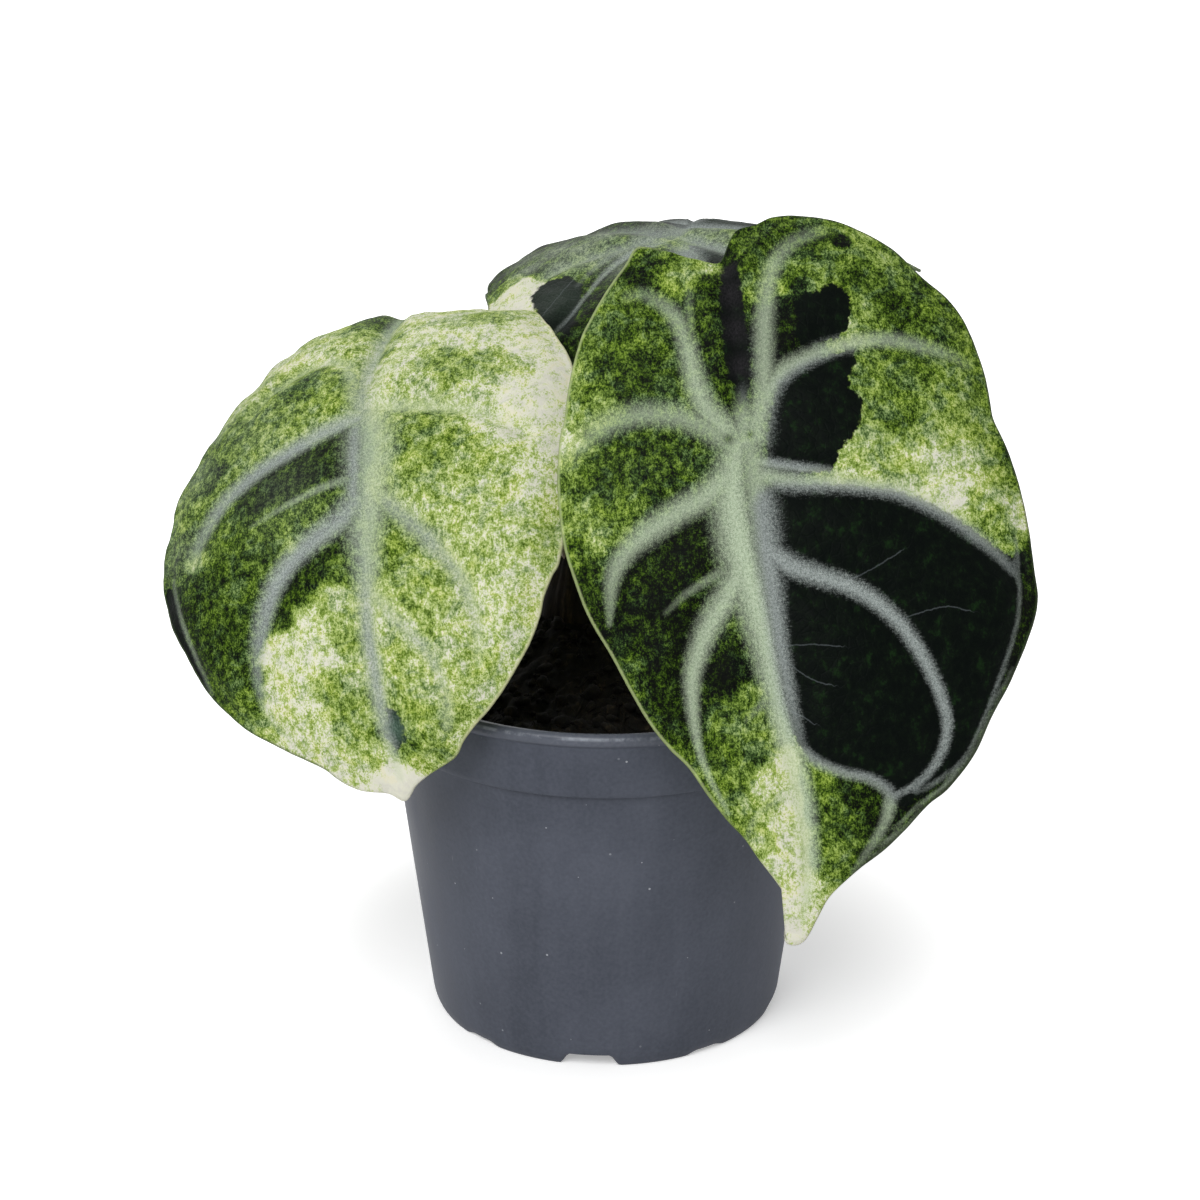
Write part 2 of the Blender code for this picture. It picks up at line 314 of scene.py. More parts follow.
# The blade's section and its relief.
BLADE_THICKNESS = 0.75
MARGIN_THICKNESS = 0.4
MARGIN_REACH = 2.0
MARGIN_OVERHANG = 0.16
KEEL_HEIGHT = 0.55
PAD_HEIGHT = 0.75
PAD_REACH = 3.2
PAD_WAVES = 0.22
PAD_WAVE_SPREAD = 9.0
RIB_DEPTH = 0.2
CREASE_DEPTH = 0.9
RIPPLE_REACH = 2.5
RIPPLE_SPREAD = 6.0
SKIN_WAVES = 0.05
SKIN_WAVE_SPREAD = 1.6
# The underside reads the marbling this far away, so that the two faces differ.
UNDER_SHIFT = 60.0
UV_BORDER = 0.005

# How the face's numbers are worked out from a leaf's tables.
VEIN_DETAIL = 6
VEIN_REACH = 1.15
VEIN_FLOOR = -1.5
VEIN_PRIORITY = 6
MAIN_VEIN_WIDTH = 0.9
RIB_WIDTH_LIMIT = 1.6
GAP_FADE = 0.75
FAR_FROM_VEIN = 30.0
FAR_FROM_NIGHT = -9.0
FAR_FROM_THREAD = 9.0
FINE_DETAIL = 8
THREAD_REACH = 0.9
CREASE_WIDTH = 1.7
SHADE_REACH = 0.7
SHADE_LEAST = 1e-9
SHAPE_ONLY = ("rib", "main", "crease")

# Where a leaf is and how it is bent:
#   joint: the stalk's joint, from the pot's axis. heading: degrees from -Y towards +X.
#   slope, roll: degrees the midrib falls towards its tip, and the blade turns about it.
#   bend: curvature per mm towards the tip, the base, the left and the right.
#   right, left: the margin as (bearing from the tip in degrees, distance from the joint).
#   raise, ripple: how far the whole face stands up, and how strong its wavy margin is.
#   creases: lines where the face folds in. bulges: (across, ahead, spread, height).
# What is on its upper face:
#   veins: (half-widths, strengths, points) of the pale bands.
#   gaps: (across, ahead, spread) where the bands fade.
#   silvers: (half-width, strengths, points) where the bands are silvery.
#   shades: for each spread, spots of (across, ahead, shade), 0 near-black and 1 cream.
#   lift: the shades' gain and offset. sheens: (across, ahead, spread, strength) of painted grey-green sheen.
#   nights: outlines of near-black fields. plums: (across, ahead, spread) where these take on plum.
#   threads: single fine veinlets. rim: the margin's colours, left and right. plum: dark, light.
FRONT_LEAF = {
    "joint": (16.2, -24.8, 85.2),
    "heading": 10.7,
    "slope": 54.4,
    "roll": 12.1,
    "bend": (.0073, .0085, .0101, .0126),
    "right": (
        (-.8, 60.8), (.4, 60.1), (2, 57.8), (4, 55.4), (8, 53.2), (12, 51.9), (16, 50.4), (20, 49),
        (24, 48.5), (30, 47), (36, 44.8), (42, 43.7), (49, 42.5), (56, 41.3), (61, 39.4), (68, 37.2),
        (76, 35.2), (85, 33.2), (92, 31.8), (97, 31.9), (104, 32.5), (114, 33.3), (122, 33.7), (130, 33.2),
        (140, 33.6), (150, 33.5), (160, 32.6), (166, 31.6), (170, 30.1), (174, 29.3), (176, 28), (180, 25),
    ),
    "left": (
        (1.9, 60.2), (1.6, 58), (1.1, 55.4), (2.5, 52.7), (4.4, 50.2), (6.4, 47.6), (8.8, 45.6), (12, 42.9),
        (16, 39.7), (20, 37.9), (25, 35.6), (31, 32.8), (38, 30.2), (47, 28.2), (55, 26.6), (68, 24.7),
        (84, 23), (100, 22.3), (107, 22.1), (120, 23), (133, 24.7), (140, 25.6), (148, 26.9), (157, 28.9),
        (161, 30.2), (164, 29.4), (168, 27.7), (173, 25.9),
    ),
    "veins": (
        ((1.5, 2, 2.1, 1.9, 1.5, 1.2, 1.2, 1.1, .9, .4), (.75, .9, .95, .95, .9, .9, .9, .88, .85, .5),
         ((-.6, 0), (-1.9, 5), (-2, 10), (-1.6, 15), (-.8, 20), (-.2, 25), (.2, 30), (.8, 35), (1.5, 40),
          (1.9, 45), (1.9, 50), (1.3, 54), (.2, 58))),
        ((1.5, 1.6, 1.5, 1.1, .8, .7, .5), (.6, .7, .74, .74, .7, .6, .3),
         ((.8, 1), (1, 6), (1.1, 12), (1.2, 18), (1.4, 24), (1.8, 30), (2.5, 37))),
        ((1.5, 1.2, .6), (.7, .6, .15), ((.3, 0), (.6, -3), (.9, -7))),
        ((1.6, 1.2, 1, .9, .7), (.75, .74, .7, .5, .15),
         ((-1.2, -1), (-3.6, -4.5), (-4.6, -8), (-5, -12), (-5.3, -15), (-6.3, -18), (-7.8, -20),
          (-9.6, -21.4), (-11.5, -21.6))),
        ((.5, .5), (.35, .1), ((-4.9, -14), (-4.4, -17), (-4, -21))),
        ((1.4, 1.3, 1.3, 1.4, 1.3), (.6, .55, .52, .42, .15),
         ((-1.5, -.3), (-4.2, -2.6), (-7, -4.2), (-10.5, -5.2), (-13.5, -5.3), (-16.7, -4.5), (-19.3, -3),
          (-21.6, -1.2))),
        ((1.5, 1.3, 1.3, .9, .3), (.8, .75, .72, .6, .3),
         ((-2, 3.8), (-5, 6), (-8.4, 7.4), (-11.6, 9), (-14.4, 10.6), (-16.4, 12.6), (-17.6, 15),
          (-18.5, 20))),
        ((.5, .4, .3), (.45, .35, .12), ((-4, 15.3), (-6.5, 16.5), (-9, 17.8), (-11.5, 19.6))),
        ((1.4, 1.2, .8, .4, .25), (.84, .82, .76, .6, .3),
         ((-1.8, 15), (-3.9, 18.2), (-6.4, 21.4), (-8.2, 24.6), (-9.3, 27.5), (-9.7, 31), (-9.7, 34),
          (-9.4, 37), (-8.6, 40), (-7, 44))),
        ((1.1, 1, 1, .9, .8), (.7, .65, .62, .5, .2),
         ((1.2, -1), (2.6, -4), (3.5, -7), (4, -11), (4.5, -15), (5.3, -19), (6.4, -22.5), (8, -25.2),
          (10, -26.8), (13, -28))),
        ((1.5, 1.1, .9, .9, .9, .7), (.7, .75, .7, .62, .48, .15),
         ((1.6, -.6), (2.8, -4), (4.2, -6.6), (6.2, -8.6), (8.6, -9.8), (11.4, -10.9), (14.7, -11.7),
          (17.9, -12.1), (21, -11.8), (24.8, -10.8), (27.2, -9.8), (29.4, -8.6))),
        ((.6, .5, .4), (.75, .7, .2), ((1, 2.4), (5, 3.6), (9, 4.5), (13, 5.6))),
        ((1.1, 1, .9, .9, .8, .5), (.74, .76, .74, .7, .58, .35),
         ((1.6, 4.2), (5, 5.4), (8, 5.8), (11, 6.2), (14.7, 6.9), (18.2, 7.9), (21.1, 9.4), (24, 11.3),
          (26.9, 13.8), (29.7, 16.6), (31.6, 19))),
        ((1.1, .9, .75, .65, .5, .3), (.8, .86, .86, .82, .74, .55),
         ((.8, 13), (3.7, 15.6), (7.1, 17.3), (10, 18.6), (12.7, 20.4), (15.2, 22.9), (17.2, 25.9),
          (18.9, 29.6), (20.1, 33.6), (20.4, 36.9), (19.3, 40), (17.5, 42.2), (15.3, 43.6), (13, 44.5))),
        ((.6, .5, .5, .65, .5, .35), (.6, .6, .66, .66, .45, .2),
         ((2.2, 37.4), (4.4, 39.4), (7.2, 40.9), (10.1, 42), (12.3, 44), (11.9, 46), (10.8, 48.2),
          (8.9, 50.6), (7, 53))),
        ((.26, .28, .24), (.25, .38, .3),
         ((32.2, 14.6), (31.9, 20), (31, 25), (29, 29.6), (27.4, 32.6), (25, 37), (22.4, 40.8),
          (19.4, 42.9), (15.6, 44.4))),
        ((.24, .26, .24), (.12, .32, .25),
         ((29.6, 31), (26.6, 35.6), (23.6, 40.2), (19.6, 43.8), (15, 46.4), (11.6, 49.6), (8.4, 53))),
        ((.24, .24, .2), (.1, .3, .2), ((22, 43.4), (17.5, 46.2), (13.6, 48.6), (9.6, 53))),
        ((.4, .3), (.5, .2), ((-.4, 31), (-2.2, 32.3), (-3.6, 33.4))),
        ((.4, .3), (.5, .2), ((1, 42.2), (-2, 43.6), (-4, 45.2), (-5.2, 47.4))),
    ),
    "threads": (
        ((2, 27), (3.6, 28.6), (5.2, 29.8), (6.8, 30.4)),
        ((2, 25.2), (4.5, 25.3), (6.4, 25.6), (8.4, 26)),
        ((15.6, 23.8), (18.7, 23), (22, 22.6), (24.6, 23.4)),
        ((9.4, 18.6), (13.5, 17.2), (17.2, 15.4)),
        ((2, 33), (3.2, 33.8), (4.2, 34.6)),
        # This last veinlet is painted shade: a thin dark line along a fold of the blade.
        ((-10, -26.8), (-12, -22), (-13.4, -17), (-14.2, -12)),
    ),
    "nights": (
        ((2.6, 3.4), (3, 0), (4, -4), (5.4, -7.4), (8, -9.2), (11, -10.2), (15, -10.8), (15.2, -9.4),
         (14, -7.4), (13.6, -5.4), (14.7, -4.6), (15, -3), (14.4, -1.2), (13.4, .5), (12, 1.8), (11, 3.4),
         (10.2, 4.8), (6, 4.6)),
        ((.4, 8), (.2, 14), (.4, 20), (.6, 26), (1, 32), (1.9, 36.4), (3.4, 39), (7.2, 41.2), (10.6, 42.8),
         (12.6, 45), (14, 46), (18, 44), (22, 41.8), (26, 36), (28.4, 32.4), (31, 26), (32.4, 20),
         (33, 16.4), (31.4, 17), (29.5, 15.6), (27, 13.2), (24, 10.8), (21, 9), (18, 7.6), (14, 6.8),
         (8, 6), (3.4, 5.6), (1.2, 6.4)),
        ((.4, -24.4), (2.2, -24.6), (2.5, -20), (2.4, -12), (2.2, -8.6), (1.2, -5.6), (-.5, -8), (-.8, -13),
         (-.4, -20)),
        ((8.4, -17.4), (9.8, -18.8), (11.8, -18.8), (12.8, -19.8), (14.4, -19.4), (15.5, -17.8),
         (15.2, -15.8), (14.6, -13.6), (13.2, -12.6), (10.8, -11.8), (8.6, -11.8), (8, -13.4), (8.8, -15)),
    ),
    "shades": {
        1: ((-1.4, -22, .26), (-3, -17, .33), (-2.2, 26, .34), (-3, 38, .3)),
        1.2: (
            (-1.8, -9, .2), (-3, -8, .3), (-1.5, -24.5, .6), (-5.6, 46, .46), (0, 44, .86), (5, 50, .52),
            (33, 7, .4),
        ),
        1.3: ((-1.8, -14, .2), (7.4, -11.4, .06), (9, -20, .14), (15.6, -26.6, .08)),
        1.4: ((-1.6, -19, .2), (1.2, -26.4, .16)),
        1.5: (
            (-10, -24.5, .12), (-16, 25, .4), (-10.5, 38, .4), (-8, 43, .42), (-3.8, 23, .26),
            (-2.5, 30, .4), (-7, 37, .33), (-3, 48, .6), (-.5, 40, .8), (.5, 54, .82), (1.5, 58, .8),
            (2.5, 56, .7), (-1.5, 59.5, .96), (8, 47, .26), (10, 46, .14), (4, 51, .38), (4, 41, .42),
            (15.5, -14, .55), (3, -27, .3), (22, -25, .42), (27, -18, .36), (30, -11, .42), (13, 3.5, .62),
            (25, 9, .84), (31, 14.5, .5), (33.5, 12, .75), (32.5, 4, .3), (27, 1, .5),
        ),
        1.6: ((7.4, -17.6, .1), (7, -14, .05)),
        2: (
            (-6, -26, .38), (-4.5, -24, .5), (-13, -22, .42), (-19, -12, .5), (-20, -7, .55),
            (-21.5, -3, .68), (-16, -7.5, .5), (-8, -8, .35), (-6.5, 2.5, .3), (-19, -1, .45),
            (-21.5, 2, .42), (-20, 6, .5), (-16, 7, .4), (-14, 5.5, .42), (-18, 9, .5), (-21, 11, .38),
            (-20, 14, .2), (-21, 18, .2), (-6, 11, .15), (-14, 14, .13), (-6, 18, .2), (-12, 34, .2),
            (-17, 29, .3), (-13, 36, .4), (-4, 27, .07), (-6, 28, .08), (-5.5, 33, .4), (-3, 35, .46),
            (-6, 41, .42), (-2, 42, .7), (-4, 44, .56), (-1, 47, .74), (-1, 52, .8), (-1, 57, .86),
            (5, 45, .32), (8, 44, .22), (6, 48, .36), (7, -20, .42), (9, -22, .4), (12, -21, .45),
            (11, -25, .28), (14, -23, .42), (20, -24, .5), (28, -15, .38), (17, -28, .5), (10, -29, .3),
            (5, -28, .28), (14, -29.5, .36), (16, -8, .45), (30, -5, .42), (19, -1, .34), (21, -2, .4),
            (22, 1, .6), (30, 0, .5), (16, 2, .6), (18, 4, .6), (22, 4.5, .7), (24, 6.5, .8), (30, 5, .55),
            (31, 9, .6), (28, 10, .62), (30, 12, .52), (29, 3, .55), (20, 45, .13), (15, 48, .15),
            (11, 51, .16), (28, 36, .12), (33, 27, .1), (35, 19, .12),
        ),
        2.5: (
            (-9, -27, .3), (-16, -17, .42), (-14, -17, .33), (-17, -9, .38), (-9, 0, .28), (-11, 30, .14),
            (18, -20, .33), (17, -16, .44), (24, -18, .3), (22, -21, .42), (25, -14, .35), (18, -6, .42),
            (21, -8, .35), (24, -7, .42), (27, -5, .48), (17, -3, .48), (24, -2, .5), (26, 2, .64),
            (27, 6, .75),
        ),
        3: (
            (-10, -17, .33), (-9, -13, .3), (-14, -12, .3), (-12, -10, .25), (-13, -1, .3), (-17, 2, .28),
            (-11, 3, .26), (-9, 13, .1), (-12, 19, .1), (-16, 22, .15), (-13, 26, .12), (21, -17, .27),
        ),
        5: ((10, 25, .05), (25, 25, .05)),
    },
    "plums": ((.8, -24, 2.2), (.9, -20, 2.2), (1, -15, 2), (1, -10, 1.6)),
    "creases": (((.6, -27), (.7, -18), (.5, -11), (.3, -6)),),
    "lift": (1.25, -.08),
    "ripple": .12,
    "raise": -.2,
    "gaps": ((-1.5, -.8, .7), (1.1, -1, .5)),
    "painted_sheens": (),
    "bulges": (),
    "silvers": (),
    "rim": ((170, 184, 128), (62, 72, 52)),
    "plum": ((8, 11, 10), (40, 38, 41)),
}

LEFT_LEAF = {
    "joint": (-30.8, -5, 83.9),
    "heading": -2.3,
    "slope": 29.7,
    "roll": 15.6,
    "bend": (.0204, .0214, .0158, .0129),
    "right": (
        (0, 52.9), (2, 51.2), (4, 50.3), (6, 49.7), (9, 48.9), (11, 47.4), (14, 46), (17, 45), (21, 43.5),
        (26, 41.6), (29, 40.5), (33, 38.8), (36, 37.3), (40, 36.1), (45, 34.9), (65, 30), (90, 27.4),
        (104, 27.3), (121, 27.5), (129, 28.3), (137, 29.4), (142, 28.7), (147, 27), (152, 25.6),
        (157, 24.3), (164, 23.7), (172, 25), (180, 26),
    ),
    "left": (
        (2, 51.6), (6, 50.9), (9, 49.6), (11, 48.4), (14, 47.4), (18, 46.6), (25, 45.5), (31, 44.2),
        (38, 42.2), (44, 40.1), (52, 38.2), (59, 36.1), (66, 33.8), (73, 31.1), (79, 29.6), (84, 27.8),
        (90, 26.2), (97, 24.7), (106, 23.7), (115, 23), (128, 23), (140, 25), (148, 27.2), (156, 27.8),
        (162, 27), (170, 27.4),
    ),
    "veins": (
        ((2.4, 2.7, 2.5, 2.3, 1.6, 1.2, 1, 1, .8, .4), (.7, .75, .75, .75, .7, .75, .8, .8, .7, .4),
         ((.6, 0), (1.3, 5), (1.5, 10), (1.2, 15), (.6, 20), (.4, 25), (-.1, 30), (-.2, 35), (-.2, 41),
          (0, 46), (.3, 50))),
        ((1.4, 1, .9, .8), (.7, .7, .65, .6),
         ((-.2, 0), (-.9, -4), (-.6, -9), (0, -14), (.3, -20), (.4, -25))),
        ((1, .9, .8, .7), (.5, .4, .4, .1),
         ((-1.4, -2.5), (-2.8, -8), (-5, -11.2), (-8, -12.2), (-11.5, -10.8), (-14.5, -8.4), (-17, -5))),
        ((1.2, 1.2, 1.2, 1.2, 1), (.85, .85, .8, .7, .3),
         ((-.6, 1.4), (-3, 2), (-6, 2.9), (-9, 4), (-12, 5), (-15, 6.2), (-18, 7.7), (-20.6, 9.5),
          (-22.5, 11.8), (-24, 14), (-25.2, 16.6))),
        ((.9, .9, .9), (.7, .8, .7), ((-.7, 3), (-.7, 7), (-.6, 11), (-1, 15))),
        ((.5, .4, .3), (.5, .45, .15), ((-.8, 11), (-4, 11.6), (-8, 12.7), (-11, 13.5), (-15, 14.6))),
        ((1.5, 1.3, 1.2, 1.1, .6, .35), (.8, .85, .9, .7, .4, .25),
         ((-.3, 14), (-2.2, 16.2), (-4.5, 17.5), (-7, 18.8), (-9.5, 20.4), (-11.5, 22.4), (-13, 24.8),
          (-14.3, 27.5), (-15.3, 30.3), (-16, 33.4), (-16.2, 37), (-15.4, 40), (-13.4, 43))),
        ((1.2, 1, 1, .8), (.6, .45, .4, .1),
         ((2.4, .3), (6, .9), (9, 1.2), (12, 2), (15, 3), (18, 4.6), (21, 7))),
        ((.9, .8, .6), (.35, .25, .05), ((.8, -2), (3, -8), (6, -12), (10, -14.6), (15, -16))),
        ((1.3, 1.1, .9, .6), (.65, .65, .6, .3),
         ((2, 13.4), (4.5, 16), (6.5, 18.3), (8.8, 21), (11, 24), (12.4, 26.7), (13, 29.4), (13.4, 33),
          (13, 37))),
        ((.9, .8, .7, .6), (.5, .55, .5, .35),
         ((.8, 26.6), (3, 29.5), (5, 32), (6.7, 34.6), (8, 37.9), (8.4, 41.2), (7.6, 44.4))),
        ((.4, .4, .4), (.2, .4, .15), ((-28.6, 18), (-27.8, 22.7), (-26, 29), (-24, 35.6))),
    ),
    "threads": (
        ((12, 13), (14.5, 14.8), (16.6, 17), (18.6, 19)),
        ((14, 23.4), (17, 24), (20, 23), (22.6, 20.8)),
        ((19, 4), (21, 7), (23.4, 8)),
        ((15.4, 3.4), (19, 1.6), (22, -1)),
        ((.4, -1), (.3, 5), (.2, 11), (.4, 15)),
        ((4, 42), (8, 39), (14, 38), (19, 33)),
    ),
    "nights": (
        ((-30.6, 18.6), (-31, 25), (-27.6, 32.6), (-24.4, 37.4), (-24.2, 35.6), (-26.3, 29.6), (-28, 23.6),
         (-28.9, 19)),
        ((.5, 40.8), (1.8, 41.2), (2.3, 43.4), (2.1, 45.4), (.6, 46.2), (-.4, 44)),
    ),
    "shades": {
        1.2: ((12, -3, .35), (2, -11, .5), (26, -5, .96)),
        1.5: (
            (-29.5, 17, .25), (-24, 17, .58), (-4, 13, .25), (-10, 17, .42), (-3, 23, .3),
            (-11.5, 27.4, .16), (-14, 32, .8), (-3, 31, .5), (-2.5, 36, .62), (-6, 37, .52), (-5, 39, .46),
            (-3, 47, .62), (-16, 42, .6), (-18, 41.5, .45), (-2, 50, .98), (0, 51.5, 1.25), (6, 3, .5),
            (3.5, 18.5, .4), (3, 29, .66), (3, 46, .42), (8, 43, .54), (4, 48.5, .6), (9, 46, .62),
            (2, 51, 1.05), (21, -19, .82), (2, -16, .56),
        ),
        2: (
            (-4, -20, .33), (-2.5, -23, .22), (-12, -23, .38), (-19, -10, .65), (-4, -10, .6), (-7, 1, .5),
            (-16, 3, .45), (-20, 6, .4), (-27, 9, .4), (-26, 13, .3), (-28, 15, .28), (-4, 7, .12),
            (-18, 11, .26), (-25, 20, .18), (-26, 24, .12), (-20, 38, .32), (-17, 30, .25), (-18, 23, .3),
            (-12, 15, .28), (-7, 14.5, .3), (-5, 21, .15), (-8, 24, .14), (-4, 27, .6), (-7, 29, .72),
            (-11, 32, .78), (-9, 41, .72), (-13, 43, .74), (-4, 43, .52), (-6, 46, .7), (-8, 48.5, .82),
            (6, 12, .5), (9, 15, .62), (16, 22, .64), (22, 20, .62), (22, 24, .6), (16, 27, .66),
            (16, 31, .74), (19, 32, .7), (11, 31, .64), (4, 22, .44), (6, 21, .46), (8, 24, .58),
            (12, 26, .6), (3, 36, .6), (6, 39, .62), (10, 37, .64), (12, 40, .62), (4, 42, .5),
            (6, 45, .48), (6, -4, .62), (24, -6, .94), (24, -2, .94), (10, -16, .64), (13, -17, .52),
            (16, -17, .5), (18, -20, .64), (20, -15, .84), (4, -18, .72), (6, -20, .76), (12, -21, .72),
        ),
        2.5: (
            (-13, -16, .75), (-16, -11, .6), (-12, -9, .5), (-6, -7, .42), (-10, -2, .44), (-5, -3, .5),
            (-12, 1, .5), (-17, -1, .4), (-21, 0, .35), (-22, 4, .2), (-25, 4, .4), (-9, 8, .1),
            (-14, 9.5, .12), (-20, 14, .3), (-22, 22, .2), (-23, 30, .15), (-19, 34, .24), (-16, 19, .26),
            (-8, 33, .8), (-12, 37, .76), (8, 6, .46), (10, 11, .48), (14, 11, .57), (18, 12, .62),
            (16, 5, .76), (24, 8, .86), (20, 9, .72), (22, 14, .76), (12, 16, .62), (15, 19, .64),
            (19, 20, .67), (19, 27, .7), (7, 28, .54), (5, 32, .62), (12, -4, .5), (10, -7, .52),
            (16, -6, .56), (20, -5, .68), (14, -1, .7), (8, -2, .64), (3, -6, .74), (5, -11, .74),
            (10, -12, .78), (15, -11, .8), (20, -10, .87),
        ),
        3: (
            (-11, -20, .62), (-6, -18, .62), (-9, -15, .7), (-10, -6, .3), (-14, -4, .45), (-20, 27, .22),
            (12, 7, .52), (20, 5, .86), (22, 0, .92),
        ),
    },
    "plums": ((.9, 43.5, 2),),
    "creases": (((-.4, -5), (-.2, -10), (.1, -16), (.4, -26)),),
    "lift": (1.12, .03),
    "ripple": .3,
    "raise": -.15,
    "gaps": ((1.1, 43.5, 1.1),),
    # Painted sheen: grey light reflected off the blade's left side at a grazing angle.
    "painted_sheens": ((-25, 3, 5, .3), (-27, 14, 4, .3), (-16, 0, 6, .2), (-20, -8, 6, .2), (-10, 12, 6, .15)),
    "bulges": (
        (-20.5, -10, 3, .3), (-16.5, -18, 3, .3), (-11.8, -25, 3, .3), (-23.5, -5.4, 1.5, -.25),
        (-18.6, -13.8, 1.5, -.25), (-14.8, -21.8, 1.5, -.25),
    ),
    "silvers": (
        (2, (.8, 1, 1, .6), ((-1, 1.4), (-9, 4), (-18, 7.7), (-24, 14))),
        (2.2, (.9, 1, 1, .5), ((-1, 15), (-7, 18.8), (-13, 24.8), (-16, 33.4), (-15.7, 40))),
        (1, (.8, .9, .9), ((-.9, 3), (-.8, 8), (-1, 15))),
        (1.2, (.2, .7, 1, 1, .7), ((-.4, 18), (-.2, 24), (-.3, 31), (-.2, 38), (0, 46))),
        (1.6, (.7, .8, .8), ((-.4, 0), (-.8, -6), (.3, -20))),
        (1.4, (.6, .85, .6), ((4, 15.4), (8.8, 21), (13.4, 33))),
        (1.1, (.4, .7, .4), ((2, 28.4), (6.7, 34.6), (8, 41.2))),
    ),
    "rim": ((70, 88, 54), (214, 214, 170)),
    "plum": ((46, 68, 54), (92, 114, 100)),
}

